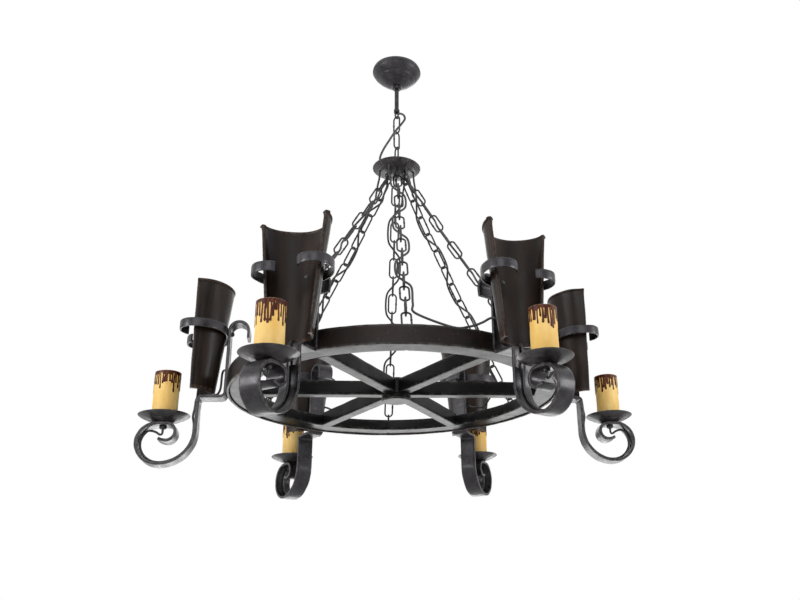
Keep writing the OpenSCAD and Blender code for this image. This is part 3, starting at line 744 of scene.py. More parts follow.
@dataclass(frozen=True)
class AmberSleeve:
    """Amber resin with a thick red-brown coat where the drips run, painted lighter upright highlights
    on that coat, and a pale rubbed rim.
    """

    name: str = "amber_sleeve"
    amber: Colour = (0.74, 0.455, 0.118)
    pale: Colour = (0.84, 0.61, 0.25)
    drip: Colour = (0.046, 0.0095, 0.0040)
    # Lighter red-brown of the coat's upright streaks: painted highlights.
    drip_highlight: Colour = (0.125, 0.036, 0.015)
    rim: Colour = (0.62, 0.45, 0.30)
    clouds: float = 48.0
    coat_highlight_streaks: float = 230.0
    rubs: float = 180.0
    ribs: float = 300.0
    rib_depth: float = 0.3 * MM

    def material(self) -> bpy.types.Material:
        """Builds the material.

        Returns:
            The node material.
        """
        r = Recipe(self.name)
        cloud = r.noise(self.clouds, 4.0, (1.0, 1.0, 0.35))
        base = r.ramp(cloud, 0.34, 0.66, self.amber, self.pale)
        drips = r.spread(r.attribute("drip"), 0.42, 0.58, 0.0, 1.0)
        # The coat is streaked upright from its dark red-brown to a lighter one: painted highlights.
        streak_and_sheen = r.noise(self.coat_highlight_streaks, 3.0, (1.0, 1.0, 0.25))
        coat = r.ramp(streak_and_sheen, 0.4, 0.7, self.drip, self.drip_highlight)
        base = r.mix(drips, base, coat)
        rub = r.spread(r.noise(self.rubs, 3.0), 0.35, 0.55, 0.35, 1.0)
        base = r.mix(r.times(r.attribute("worn"), rub), base, self.rim)
        r.link(base, "Base Color")
        r.link(r.spread(drips, 0.0, 1.0, 0.5, 0.38), "Roughness")
        r.set(Subsurface_Weight=0.12, Subsurface_Radius=(0.004, 0.002, 0.001), Specular_IOR_Level=0.14)
        r.link(r.bump(r.noise(self.ribs, 3.0, (1.0, 1.0, 0.4)), self.rib_depth, 0.4), "Normal")
        return r.material


@dataclass(frozen=True)
class Moulded:
    """Moulded or glazed small parts and plated screws: one colour with a faint mottle."""

    name: str
    dark: Colour
    light: Colour
    smooth: float
    rough: float
    metal: float = 0.0
    patches: float = 90.0
    grit: float = 900.0
    grit_depth: float = 0.1 * MM

    def material(self) -> bpy.types.Material:
        """Builds the material.

        Returns:
            The node material.
        """
        r = Recipe(self.name)
        cloud = r.noise(self.patches, 4.0)
        r.link(r.ramp(cloud, 0.35, 0.65, self.dark, self.light), "Base Color")
        r.link(r.spread(cloud, 0.35, 0.65, self.smooth, self.rough), "Roughness")
        r.set(Metallic=self.metal)
        r.link(r.bump(r.noise(self.grit, 2.0), self.grit_depth, 0.3), "Normal")
        return r.material


@dataclass(frozen=True)
class RoundFlex:
    """Black sheathed flex with a faint mottle and fine grit."""

    name: str = "round_flex"
    dark: Colour = (0.012, 0.012, 0.013)
    light: Colour = (0.035, 0.034, 0.035)
    patches: float = 150.0
    grit: float = 600.0
    grit_depth: float = 0.2 * MM

    def material(self) -> bpy.types.Material:
        """Builds the material.

        Returns:
            The node material.
        """
        r = Recipe(self.name)
        cloud = r.noise(self.patches, 3.0)
        r.link(r.ramp(cloud, 0.35, 0.65, self.dark, self.light), "Base Color")
        r.link(r.spread(cloud, 0.35, 0.65, 0.32, 0.48), "Roughness")
        r.set(Specular_IOR_Level=0.5)
        r.link(r.bump(r.noise(self.grit, 2.0), self.grit_depth, 0.4), "Normal")
        return r.material


@dataclass
class Palette:
    """The finishes: one for each material slot, a paler copy of the iron whose lighter tone is painted
    light, and a lacquered zinc.
    """

    finishes: dict[Slot, bpy.types.Material] = field(default_factory=dict)
    beaten: bpy.types.Material | None = None
    lacquered: tuple[str, ...] = ("tile_screws", "lampholder_nipples", "collar_screw")

    def build(self) -> None:
        """Makes the finish of every slot, and the paler copy of the iron for the crown and the pans,
        which paints in the light that they catch.
        """
        recipes = {
            Slot.IRON: ForgedIron(),
            Slot.TYRE: StainedHoop(),
            Slot.WHEEL: PaintedTimber(),
            Slot.ZINC: Moulded(
                "zinc_plate", (0.42, 0.41, 0.39), (0.62, 0.61, 0.58), 0.25, 0.42, 1.0
            ),
            Slot.PORCELAIN: Moulded(
                "white_porcelain", (0.62, 0.60, 0.53), (0.74, 0.72, 0.66), 0.15, 0.25
            ),
            Slot.HOLDER: Moulded(
                "brown_resin", (0.018, 0.012, 0.010), (0.04, 0.028, 0.022), 0.25, 0.4
            ),
            Slot.CLAY: BrownGlaze(),
            Slot.WAX: AmberSleeve(),
            Slot.FLEX: RoundFlex(),
        }
        self.finishes = {slot: recipe.material() for slot, recipe in recipes.items()}
        # A lighter copy of the forged iron: painted light on the crown and the pans.
        beaten = ForgedIron("lit_paler_iron", (0.012, 0.011, 0.0105), (0.044, 0.039, 0.038))
        self.beaten = beaten.material()

    def dress_nodes(self) -> None:
        """Gives every CAD node the finish that the record names for it.

        The plated fasteners that show are dulled by the lacquer of the ironwork round them.
        """
        zinc = Moulded("lacquered_zinc", (0.018, 0.018, 0.019), (0.045, 0.044, 0.044), 0.42, 0.58)
        dulled = zinc.material()
        for part in frame["record"]["subparts"]:
            node = frame["nodes"][part["node"]]
            plain = self.finishes[Slot(part["material_slot"])]
            node.data.materials.clear()
            node.data.materials.append(dulled if part["node"] in self.lacquered else plain)


PALETTE = Palette()


def make_piece(
    name: str,
    grids: list[Grid],
    slot: Slot,
    body: Body | str | None,
    replaced: tuple[str, ...] = (),
    extra: dict[str, Array] | None = None,
    sharp: float = 40.0,
    finish: bpy.types.Material | None = None,
) -> bpy.types.Object:
    """Makes one piece of the object from its grids and dresses it.

    Args:
        name: Piece name.
        grids: Surfaces that belong to the piece.
        slot: Material slot.
        body: CAD body that it rides on, or None for a piece that is left without one.
        replaced: CAD nodes that it stands for.
        extra: Further attributes, one value for each vertex.
        sharp: Angle in degrees past which an edge is shaded sharp.
        finish: Finish used instead of the slot's own.

    Returns:
        The object.
    """
    vertices = np.vstack([grid.points.reshape(-1, 3) for grid in grids])
    plain = [np.zeros(grid.points.shape[:2]) if grid.worn is None else grid.worn for grid in grids]
    worn = np.concatenate([values.reshape(-1) for values in plain])
    faces, start = [], 0
    for grid in grids:
        faces += grid.faces(start)
        start += grid.points.shape[0] * grid.points.shape[1]
    mesh = bpy.data.meshes.new(name)
    mesh.from_pydata(vertices.tolist(), [], faces)
    for key, values in {"worn": worn, **(extra or {})}.items():
        attribute = mesh.attributes.new(key, "FLOAT", "POINT")
        attribute.data.foreach_set("value", values.astype(np.float32))
    mesh.polygons.foreach_set("use_smooth", np.ones(len(faces), bool))
    mesh.set_sharp_from_angle(angle=math.radians(sharp))
    mesh.materials.append(finish or PALETTE.finishes[slot])
    mesh.update()
    piece = bpy.data.objects.new(name, mesh)
    bpy.context.scene.collection.objects.link(piece)
    if body is not None:
        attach(piece, body.value if isinstance(body, Body) else body)
    if replaced:
        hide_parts(*replaced)
    LOG.info("%s: %d vertices, %d faces", name, len(vertices), len(faces))
    return piece


# ---------- ceiling ----------


@dataclass
class CeilingCup:
    """The spun ceiling cup with its upright band, its tapering side and fine turned rings."""

    radius: float = 46.0 * MM
    height: float = 40.0 * MM
    band: float = 8.0 * MM
    neck: float = 10.0 * MM
    swell: float = 0.55
    shoulder: float = 2.2 * MM
    wall: float = 1.2 * MM
    bore: float = 4.3 * MM
    rings: tuple[float, ...] = (9.0, 10.6, 21.0, 22.6, 31.0)
    ring_depth: float = 0.7 * MM
    ring_width: float = 0.75 * MM
    unevenness: float = 0.06 * MM
    outer_rows: int = 120
    inner_rows: int = 60
    columns: int = 160

    def side(self, depth: Array) -> Array:
        """Radius at a depth, with turned rings.

        The band rounds in towards the ceiling. Under it the side falls by
        (1 - swell) f + swell f², where f is the share of the depth. Each ring
        is a groove exp(-(d / width)²), d being the distance from its middle.

        Args:
            depth: Depths under the ceiling.

        Returns:
            Outer radii.
        """
        share = np.clip((depth - self.band) / (self.height - self.band), 0.0, 1.0)
        fall = (1 - self.swell) * share + self.swell * share**2
        side = self.radius - (self.radius - self.neck) * fall
        above = np.clip(1.0 - depth / self.band, 0.0, 1.0)
        away = (depth[..., None] - np.array(self.rings) * MM) / self.ring_width
        grooves = np.exp(-(away**2)).sum(-1)
        return side - self.shoulder * above**2 - self.ring_depth * grooves

    def build(self) -> None:
        """Makes the cup from one closed outline turned about the stem."""
        depth = np.linspace(0.0, self.height, self.outer_rows)
        outside = np.stack([self.side(depth), -depth], 1)
        last = self.height - self.wall
        within = np.linspace(last, 0.0, self.inner_rows)
        inside = np.stack([self.side(within) - self.wall, -within], 1)
        neck = np.array([[self.bore, -self.height], [self.bore, -last]])
        outline = np.vstack([outside, neck, inside])
        points = revolved(outline, self.columns)
        worn = np.zeros(len(outline))
        worn[:3] = 0.8
        worn[-2:] = 0.5
        grid = Grid(points, True, True, worn=np.repeat(worn[:, None], self.columns, 1))
        grid = grid.push(self.unevenness * (ripple(points, 22 * MM, 11) - 1.0))
        make_piece("ceiling_cup", [grid], Slot.IRON, Body.CANOPY, ("canopy",))


# ---------- chains ----------


@dataclass
class WeldedLink:
    """One link bent from round wire, with the low bead of its weld half way up one leg.

    The wire's radius waves along it, by wave_number radians for each metre.
    """

    wire: float = 1.5 * MM
    half: float = 18.5 * MM
    bend: float = 7.0 * MM
    rows: int = 64
    sides: int = 12
    weld: float = 0.30
    weld_length: float = 1.6 * MM
    unevenness: float = 0.02
    wave_number: float = 900.0

    def grid(self, seed: int) -> Grid:
        """The link in the XZ plane, its long axis along Z.

        The wire's centre line runs up one leg, over a half circle, down the
        other leg and round the second half circle.

        Args:
            seed: Seed of the weld's side and the wire's unevenness.

        Returns:
            The closed tube.
        """
        rng = np.random.default_rng(seed)
        leg = 2 * (self.half - self.bend)
        arc = math.pi * self.bend
        run = np.linspace(0.0, 2 * (leg + arc), self.rows, endpoint=False)
        place = run % (leg + arc)
        angle = np.clip(place - leg, 0.0, arc) / self.bend
        x = self.bend * np.cos(angle)
        z = np.minimum(place, leg) - leg / 2 + self.bend * np.sin(angle)
        turned = np.where(run >= leg + arc, -1.0, 1.0)
        path = np.stack([x * turned, 0 * x, z * turned], 1)
        centre = leg / 2 + (leg + arc if rng.random() < 0.5 else 0.0)
        bead = np.exp(-(((run - centre) / self.weld_length) ** 2))
        waves = np.sin(run * self.wave_number + seed)
        radius = self.wire * (1.0 + self.weld * bead + self.unevenness * waves)
        section = circle_section(radius, self.sides, self.rows)
        points = sweep(path, np.array([0.0, 1.0, 0.0]), section, True)
        worn = np.abs(np.sin(angle))[:, None] * np.ones(self.sides) * 0.6
        return Grid(points, True, True, worn=worn)


@dataclass
class HangingLinks:
    """The three links between the stem's loop and the crown's eye.

    The heights of their middles are in millimetres and their yaws in degrees.
    """

    heights: tuple[float, ...] = (-125.35, -159.2, -193.05)
    yaws: tuple[float, ...] = (-45.0, 45.0, 110.0)
    first_seed: int = 70

    def build(self) -> None:
        """Makes each link on its own body."""
        bodies = (Body.LINK_UPPER, Body.LINK_MIDDLE, Body.LINK_LOWER)
        for index, (height, yaw, body) in enumerate(zip(self.heights, self.yaws, bodies)):
            grid = WeldedLink(rows=96, sides=16).grid(self.first_seed + index)
            points = turn_z(grid.points, math.radians(yaw)) + np.array([0.0, 0.0, height * MM])
            make_piece(body.value + "_forged", [grid.placed(points)], Slot.IRON, body, (body.value,))


@dataclass
class ChainLine:
    """The centre line of a wheel chain, a straight line with a little sag, in millimetres."""

    top_r: float = 18.0
    top_z: float = -242.874
    anchor_r: float = 250.0
    length: float = 447.9
    sag: float = 6.0
    first: float = 20.85
    step: float = 33.85
    count: int = 13

    @property
    def along(self) -> tuple[float, float]:
        """Outward and upward parts of the chain's direction."""
        out = (self.anchor_r - self.top_r) / self.length
        return out, -math.sqrt(1.0 - out**2)

    def point(self, s: Array | float, side: Array | float) -> Array:
        """Points at distance s along the chain, moved sideways; the sag is 4 sag (s/l)(1 - s/l).

        Args:
            s: Distances from the crown in millimetres.
            side: Sideways offsets in millimetres.

        Returns:
            Points in metres, in the chain's own upright plane.
        """
        s, side = np.broadcast_arrays(np.asarray(s, float), np.asarray(side, float))
        out, up = self.along
        off = self.sag * 4 * (s / self.length) * (1 - s / self.length)
        reach = self.top_r + out * s + up * off
        height = self.top_z + up * s - out * off
        return np.stack([reach, side, height], -1) * MM

    def slope(self, s: float) -> float:
        """Angle in radians between the sagging line and the straight one."""
        return math.atan(self.sag * 4 * (1 - 2 * s / self.length) / self.length)

    def station(self, index: int) -> float:
        """Distance of a link's middle from the crown."""
        return self.first + index * self.step


@dataclass
class WheelChains:
    """The six chains from the crown to the wheel, thirteen links each."""

    line: ChainLine = field(default_factory=ChainLine)
    seeds_per_chain: int = 20

    def build(self) -> None:
        """Makes each chain as one piece of separate links, every second one turned a quarter."""
        out, up = self.line.along
        tilt = math.atan2(out, -up)
        for chain in range(ARMS):
            grids = []
            for index in range(self.line.count):
                s = self.line.station(index)
                grid = WeldedLink().grid(chain * self.seeds_per_chain + index)
                points = turn_z(grid.points, 0.0 if index % 2 else math.pi / 2)
                points = turn_y(points, self.line.slope(s) - tilt) + self.line.point(s, 0.0)
                grids.append(grid.placed(turn_z(points, (chain + 0.5) * ARM_STEP)))
            name = f"chain_{chain + 1}"
            make_piece(name + "_links", grids, Slot.IRON, Body.WHEEL, (name,))


# ---------- crown ----------


@dataclass
class CrownDish:
    """The shallow hammered dish from which the chains hang, with a finely notched rim."""

    radius: float = 44.0 * MM
    depth: float = 13.0 * MM
    wall: float = 1.5 * MM
    bore: float = 2.6 * MM
    notches: int = 48
    flute: float = 0.9 * MM
    rim_share: float = 0.20
    notch_share: float = 0.040
    ring_share: float = 0.77
    ring_height: float = 0.6 * MM
    ring_width: float = 1.3 * MM
    marks: int = 60
    mark_radius: float = 8.0 * MM
    mark_depth: float = 0.12 * MM
    rows: int = 46
    columns: int = 480

    def build(self) -> None:
        """Makes the dish: a spherical cap whose rim swells in and out once for each notch.

        The rim's swelling is |sin(n a / 2)| to the power 0.6, where n is the
        number of notches and a the angle. A raised ring follows the cap near
        its rim, and hammer marks sink the whole sheet.
        """
        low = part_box("crown_dish")[0].z
        ball = (self.radius**2 + self.depth**2) / (2 * self.depth)
        r = np.linspace(self.bore, self.radius, self.rows)
        outside = np.stack([r, ball - np.sqrt(ball**2 - r**2)], 1)
        inner = r[::-1][1:]
        inside = np.stack([inner, ball - np.sqrt((ball - self.wall) ** 2 - inner**2)], 1)
        lip_r, lip_z = self.radius - 0.8 * MM, self.depth + 0.1 * MM
        lip = np.array([[self.radius, self.depth], [lip_r, lip_z]])
        outline = np.vstack([outside, lip, inside])
        points = revolved(outline + np.array([0.0, low]), self.columns)
        angle = np.linspace(0.0, math.tau, self.columns, endpoint=False)
        bead = np.abs(np.sin(self.notches * angle / 2)) ** 0.6
        rim = self.rim_share * self.radius
        near_rim = np.clip((outline[:, 0] - self.radius + rim) / rim, 0.0, 1.0)
        shrink = 1.0 - self.notch_share * near_rim[:, None] ** 2 * (1.0 - bead)[None]
        points[..., :2] *= shrink[..., None]
        fluted = self.flute * np.minimum(near_rim * 2.0, 1.0)[:, None] * (1.0 - bead)[None]
        from_ring = (outline[:, 0] - self.ring_share * self.radius) / self.ring_width
        ring = self.ring_height * np.exp(-(from_ring**2))
        points[..., 2] += fluted - ring[:, None]
        worn = near_rim[:, None] * (0.2 + 0.8 * bead)
        points[..., 2] -= self.mark_depth * hammer_marks(points, self.marks, self.mark_radius, 5)
        dish = Grid(points, True, True, worn=worn)
        # The dish wears the paler iron, which paints in the light that it catches.
        make_piece(
            "crown_dish_hammered",
            [dish],
            Slot.IRON,
            Body.WHEEL,
            ("crown_dish",),
            finish=PALETTE.beaten,
        )


# ---------- wheel ----------


@dataclass
class IronTyre:
    """The wide hoop shrunk on the wheel, slightly uneven from the hammer."""

    radius: float = 270.0 * MM
    wall: float = 4.0 * MM
    height: float = 30.0 * MM
    rounding: float = 0.9 * MM
    dents: int = 420
    dent_radius: float = 11.0 * MM
    dent_depth: float = 0.35 * MM
    columns: int = 420

    def build(self) -> None:
        """Makes the hoop from a rounded strip section turned about the axis."""
        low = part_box("tyre")[0].z
        section, corners = rounded_section(self.wall, self.height, self.rounding, 3 * MM)
        outline = section + np.array([self.radius - self.wall / 2, low + self.height / 2])
        points = revolved(outline, self.columns)
        dents = hammer_marks(points, self.dents, self.dent_radius, 21) * self.dent_depth
        worn = np.repeat(corners[:, None], self.columns, 1)
        grid = Grid(points, True, True, worn=worn).push(-dents)
        make_piece("tyre_hoop", [grid], Slot.TYRE, Body.WHEEL, ("tyre",))


@dataclass
class WheelTimber:
    """The felloe ring, the six spokes and the hub."""

    felloe_r: float = 266.0 * MM
    felloe_w: float = 35.0 * MM
    felloe_h: float = 20.0 * MM
    spoke_w: float = 20.0 * MM
    spoke_h: float = 24.0 * MM
    hub_r: float = 24.0 * MM
    felloe_rounding: float = 2.6 * MM
    spoke_rounding: float = 1.8 * MM
    hub_rounding: float = 3.0 * MM
    joint_depth: float = 0.7 * MM
    joint_half_angle: float = 0.3
    unevenness: float = 0.25 * MM
    grooves: tuple[float, ...] = (3.8, 8.2)
    groove_depth: float = 1.3 * MM
    groove_width: float = 0.6 * MM
    felloe_columns: int = 432
    spoke_rows: int = 60
    spoke_in_hub: float = 1.5 * MM
    spoke_in_felloe: float = 2.0 * MM
    spoke_ease: float = 0.2 * MM
    hub_rows: int = 90
    hub_columns: int = 96
    cap_rows: int = 8

    def felloe(self) -> None:
        """Makes the ring from its rounded section, with a shallow joint line every sixth of a turn."""
        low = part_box("felloe")[0].z
        columns = self.felloe_columns
        section, corners = rounded_section(
            self.felloe_w, self.felloe_h, self.felloe_rounding, 4 * MM
        )
        centre = np.array([self.felloe_r - self.felloe_w / 2, low + self.felloe_h / 2])
        points = revolved(section + centre, columns)
        angle = np.linspace(0.0, 360.0, columns, endpoint=False)
        off = np.abs((angle % 60.0) - 30.0)
        joint = np.where(off < self.joint_half_angle, self.joint_depth, 0.0)
        wave = self.unevenness * (ripple(points, 60 * MM, 31) - 1.0)
        grid = Grid(points, True, True, worn=np.repeat(corners[:, None], columns, 1))
        grid = grid.push(wave - joint[None])
        make_piece("felloe_ring", [grid], Slot.WHEEL, Body.WHEEL, ("felloe",))

    def spokes(self) -> None:
        """Makes the six planed spokes, each a rounded bar from the hub to the ring."""
        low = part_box("spokes")[0].z
        section, corners = rounded_section(self.spoke_h, self.spoke_w, self.spoke_rounding, 4 * MM)
        first = self.hub_r - self.spoke_in_hub
        last = self.felloe_r - self.felloe_w + self.spoke_in_felloe
        run = np.linspace(first, last, self.spoke_rows)
        path = np.stack([run, 0 * run, 0 * run + low + self.spoke_h / 2], 1)
        grids = []
        for arm in range(ARMS):
            points = turn_z(sweep(path, np.array([0.0, 1.0, 0.0]), section), arm * ARM_STEP)
            worn = np.repeat(corners[None], len(run), 0)
            grid = Grid(points, False, True, True, worn)
            wave = self.unevenness * ripple(points, 45 * MM, 40 + arm)
            grids.append(grid.push(wave - self.spoke_ease))
        make_piece("spokes_planed", grids, Slot.WHEEL, Body.WHEEL, ("spokes",))

    def hub(self) -> None:
        """Makes the turned hub: two grooves near its foot, and edges that are quarter circles."""
        low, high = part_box("hub")
        z = np.linspace(low.z, high.z, self.hub_rows)
        edge = np.minimum(z - low.z, high.z - z)
        rounding = self.hub_rounding
        arc = rounding - np.sqrt(np.maximum(edge * (2 * rounding - edge), 0.0))
        inset = np.where(edge < rounding, arc, 0.0)
        away = (z[:, None] - low.z - np.array(self.grooves) * MM) / self.groove_width
        grooves = np.exp(-(away**2)).sum(1)
        r = self.hub_r - inset - self.groove_depth * grooves
        cap_r = np.linspace(0.06, 1.0, self.cap_rows)
        bottom = np.stack([r[0] * cap_r, np.full(self.cap_rows, low.z)], 1)
        top = np.stack([r[-1] * cap_r[::-1], np.full(self.cap_rows, high.z)], 1)
        outline = np.vstack([bottom, np.stack([r, z], 1)[1:-1], top])
        flat = np.zeros(self.cap_rows - 1)
        worn = np.concatenate([flat, [1.0], (inset[1:-1] > 0) * 1.0, [1.0], flat])
        points = revolved(outline, self.hub_columns)
        worn = np.repeat(worn[:, None], self.hub_columns, 1)
        grid = Grid(points, False, True, True, worn)
        make_piece("hub_turned", [grid], Slot.WHEEL, Body.WHEEL, ("hub",))

    def build(self) -> None:
        """Makes the ring, the spokes and the hub."""
        self.felloe()
        self.spokes()
        self.hub()


# ---------- arms ----------


@dataclass
class ForgedBar:
    """A flat bar forged along a bent path, with worn corners, hammer marks and uneven edges."""

    width: float
    thickness: float
    rounding: float = 1.0 * MM
    mark: float = 5.5 * MM
    mark_depth: float = 0.24 * MM
    marks_per_metre: float = 700.0
    edge_wear: float = 0.22 * MM
    point_step: float = 2.2 * MM

    def grid(self, path: Array, across: Array, seed: int, taper: Array | None = None) -> Grid:
        """The bar's surface, hammered inwards so that it never stands proud of the plain bar.

        Args:
            path: Centre line (n, 3).
            across: Direction of the bar's width.
            seed: Seed of the marks.
            taper: Share of the full width at each point of the path.

        Returns:
            The capped tube.
        """
        section, corners = rounded_section(
            self.thickness, self.width, self.rounding, self.point_step
        )
        sections = np.repeat(section[None], len(path), 0)
        if taper is not None:
            sections = sections * np.stack([0.5 + 0.5 * taper, taper], 1)[:, None, :]
        points = sweep(path, across, sections)
        marks = int(route_length(path) * self.marks_per_metre)
        depth = hammer_marks(points, marks, self.mark, seed) * self.mark_depth
        wear = self.edge_wear * (1.0 + ripple(points, 26 * MM, seed + 1))
        edge = wear * (corners[None] > 0.3)
        grid = Grid(points, False, True, True, np.repeat(corners[None], len(path), 0))
        return grid.push(-depth - edge)


@dataclass
class ScrolledArms:
    """The six arms: top curl, long upright on the tyre, shelf, drop and scroll.

    The start is radius, height and heading. Each part is a length and 0 for a
    straight one, or a bend's radius and angle. Lengths are in millimetres and
    angles in degrees.
    """

    start: tuple[float, float, float] = (242.5, 96.5, 90.0)
    parts: tuple[tuple[float, float], ...] = (
        (13.0, 0.0), (15.0, -180.0), (105.0, 0.0), (7.0, 90.0), (28.5, 0.0), (5.0, -90.0),
        (49.5, 0.0), (52.0, 90.0), (34.0, 90.0), (29.0, 90.0), (13.4, 0.0),
        (14.0, 90.0), (13.0, 90.0), (20.0, 35.0),
    )
    bar: ForgedBar = field(default_factory=lambda: ForgedBar(30.0 * MM, 5.0 * MM))
    spacing: float = 2.6
    tip: float = 16.0 * MM
    tip_taper: float = 0.10

    def centre_line(self) -> Array:
        """The bar's line in the arm's upright plane: straight parts, and bends of a radius and angle.

        Returns:
            Points (n, 2) of radius and height over the tyre's lower edge, in millimetres.
        """
        x, z, heading = self.start[0], self.start[1], math.radians(self.start[2])
        line = [np.array([[x, z]])]
        for size, angle in self.parts:
            if angle == 0.0:
                s = np.linspace(0.0, size, max(2, int(size / self.spacing)) + 1)[1:]
                leg = np.stack([x + s * math.cos(heading), z + s * math.sin(heading)], 1)
            else:
                turn = math.radians(angle)
                k = math.copysign(1.0, angle)
                cx, cz = x - k * size * math.sin(heading), z + k * size * math.cos(heading)
                steps = max(5, int(abs(turn) * size / self.spacing))
                a = heading + np.linspace(0.0, turn, steps + 1)[1:]
                leg = np.stack([cx + k * size * np.sin(a), cz - k * size * np.cos(a)], 1)
                heading += turn
            line.append(leg)
            x, z = leg[-1]
        return np.vstack(line)

    def build(self) -> None:
        """Makes each arm as one forged bar that narrows a little at both tips."""
        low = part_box("tyre")[0].z
        line = self.centre_line() * MM
        path = np.stack([line[:, 0], 0 * line[:, 0], line[:, 1] + low], 1)
        run = np.concatenate([[0.0], np.cumsum(np.linalg.norm(np.diff(path, axis=0), axis=1))])
        end = np.minimum(run, run[-1] - run)
        taper = 1.0 - self.tip_taper * np.clip(1.0 - end / self.tip, 0.0, 1.0) ** 2
        for arm in range(ARMS):
            grid = self.bar.grid(path, np.array([0.0, 1.0, 0.0]), 100 + 7 * arm, taper)
            grid = grid.placed(turn_z(grid.points, arm * ARM_STEP))
            name = f"arm_{arm + 1}"
            make_piece(name + "_forged", [grid], Slot.IRON, Body.WHEEL, (name,), sharp=55.0)


@dataclass
class TileClasps:
    """The straps behind the tiles, whose ends curl round the tiles' free edges like a ram's horns.

    Sizes are in millimetres and the angle of the curl's end in degrees.
    """

    face_r: float = 275.0
    flat: float = 14.0
    side: float = 45.2437
    curl: float = 23.0
    end: float = 53.13
    height: float = 106.0
    spacing: float = 2.2
    bar: ForgedBar = field(
        default_factory=lambda: ForgedBar(15.0 * MM, 3.0 * MM, 0.8 * MM, 4 * MM, 0.25 * MM)
    )

    def half(self) -> Array:
        """Half of the strap seen from above, from its middle to the end of its curl.

        Returns:
            Points (n, 2), outwards and sideways, in millimetres.
        """
        x, y, heading = self.face_r + self.bar.thickness / MM / 2, self.flat, math.pi / 2
        s = np.linspace(0.0, self.flat, 7)
        line = [np.stack([x + 0 * s, s], 1)]
        for size, angle in ((self.side, -90.0), (self.curl, -90.0), (self.curl, -self.end)):
            turn = math.radians(angle)
            cx, cy = x + size * math.sin(heading), y - size * math.cos(heading)
            steps = max(6, int(abs(turn) * size / self.spacing))
            a = heading + np.linspace(0.0, turn, steps + 1)[1:]
            leg = np.stack([cx - size * np.sin(a), cy + size * np.cos(a)], 1)
            line.append(leg)
            heading += turn
            x, y = leg[-1]
        return np.vstack(line)

    def build(self) -> None:
        """Makes the six straps as one piece of separate bars."""
        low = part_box("tyre")[0].z + self.height * MM
        half = self.half() * MM
        line = np.vstack([half[:0:-1] * np.array([1.0, -1.0]), half])
        path = np.stack([line[:, 0], line[:, 1], 0 * line[:, 0] + low], 1)
        grids = []
        for arm in range(ARMS):
            grid = self.bar.grid(path, np.array([0.0, 0.0, 1.0]), 300 + 5 * arm)
            grids.append(grid.placed(turn_z(grid.points, arm * ARM_STEP)))
        make_piece("tile_clasps_forged", grids, Slot.IRON, Body.WHEEL, ("tile_clasps",), sharp=55.0)


# ---------- tiles and lamps ----------


@dataclass
class HalfConeTiles:
    """The six clay tiles: half cones, open outwards, with a rolled lip at the top.

    The wall's thickness swells towards both free edges. The swell is given at
    steps in millimetres from each edge.
    """

    axis_r: float = 324.638 * MM
    foot_r: float = 35.0 * MM
    top_r: float = 54.0 * MM
    height: float = 179.5 * MM
    wall: float = 4.0 * MM
    lip: float = 2.9 * MM
    arc: float = 176.0
    rows: int = 64
    edge_steps: tuple[float, ...] = (0.0, 0.5, 1.3, 2.5, 4.2, 6.5)
    edge_swell: tuple[float, ...] = (0.45, 1.05, 1.40, 1.42, 1.20, 1.0)
    ear: float = 0.55
    ear_drop: float = 3.5 * MM
    ear_height: float = 4.0 * MM
    ear_width: float = 3.5 * MM
    side_rows: int = 56
    lip_rows: int = 18
    unevenness: float = 0.45 * MM
    throwing_depth: float = 0.10 * MM
    throwing_step: float = 0.9 * MM

    def outline(self) -> tuple[Array, Array]:
        """The tile's upright section: outer wall, round lip, inner wall and foot.

        Returns:
            Points (n, 2) of radius and height, and the worn value of each.
        """
        z = np.linspace(0.0, self.height - 1.6 * self.lip, self.side_rows)
        outer = np.stack([self.foot_r + (self.top_r - self.foot_r) * z / self.height, z], 1)
        middle = np.array([self.top_r - self.wall / 2, self.height - self.lip])
        a = np.radians(np.linspace(-40.0, 220.0, self.lip_rows))
        lip = np.stack([middle[0] + self.lip * np.cos(a), middle[1] + self.lip * np.sin(a)], 1)
        inner = outer[::-1] - np.array([self.wall, 0.0])
        side = np.zeros(self.side_rows)
        worn = np.concatenate([side, np.full(self.lip_rows, 0.35), side])
        worn[[0, 1, -2, -1]] = 0.5
        return np.vstack([outer, lip, inner]), worn

    def build(self) -> None:
        """Makes each tile: the section turned through the tile's arc, thick at both free edges.

        The top corners stand out as small ears: the swell grows there by two
        bells exp(-d²), one over the height and one over the way from the edge.
        The surface waves by smooth noise and by the fine rings of throwing.
        """
        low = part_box("tile_1")[0].z
        outline, worn = self.outline()
        half = math.radians(self.arc) / 2
        inwards = np.array(self.edge_steps) * MM / self.foot_r
        middle = np.linspace(-half + inwards[-1], half - inwards[-1], self.rows)[1:-1]
        turn = np.concatenate([inwards - half, middle, half - inwards[::-1]])
        swell = np.concatenate([self.edge_swell, np.ones(len(middle)), self.edge_swell[::-1]])
        r, z = outline[None, :, 0], outline[None, :, 1]
        centre_r = self.foot_r - self.wall / 2 + (self.top_r - self.foot_r) * z / self.height
        ear = self.ear * np.exp(-(((z - self.height + self.ear_drop) / self.ear_height) ** 2))
        at_edge = np.exp(-(((half - np.abs(turn)) * self.top_r / self.ear_width) ** 2))
        r = centre_r + (r - centre_r) * swell[:, None] * (1.0 + ear * at_edge[:, None])
        plain = np.stack([-r * np.cos(turn)[:, None], r * np.sin(turn)[:, None], z + 0 * r], -1)
        for arm in range(ARMS):
            points = plain + np.array([self.axis_r, 0.0, low])
            grid = Grid(points, False, True, True, np.repeat(worn[None], len(turn), 0))
            phase = 3.0 * ripple(points, 60 * MM, 501 + arm)
            throwing = self.throwing_depth * np.sin(points[..., 2] / self.throwing_step + phase)
            grid = grid.push(self.unevenness * ripple(points, 48 * MM, 520 + arm) + throwing)
            grid.worn[[0, 1, -2, -1]] = 0.22
            grid = grid.placed(turn_z(grid.points, arm * ARM_STEP))
            name = f"tile_{arm + 1}"
            make_piece(name + "_glazed", [grid], Slot.CLAY, Body.WHEEL, (name,), sharp=50.0)


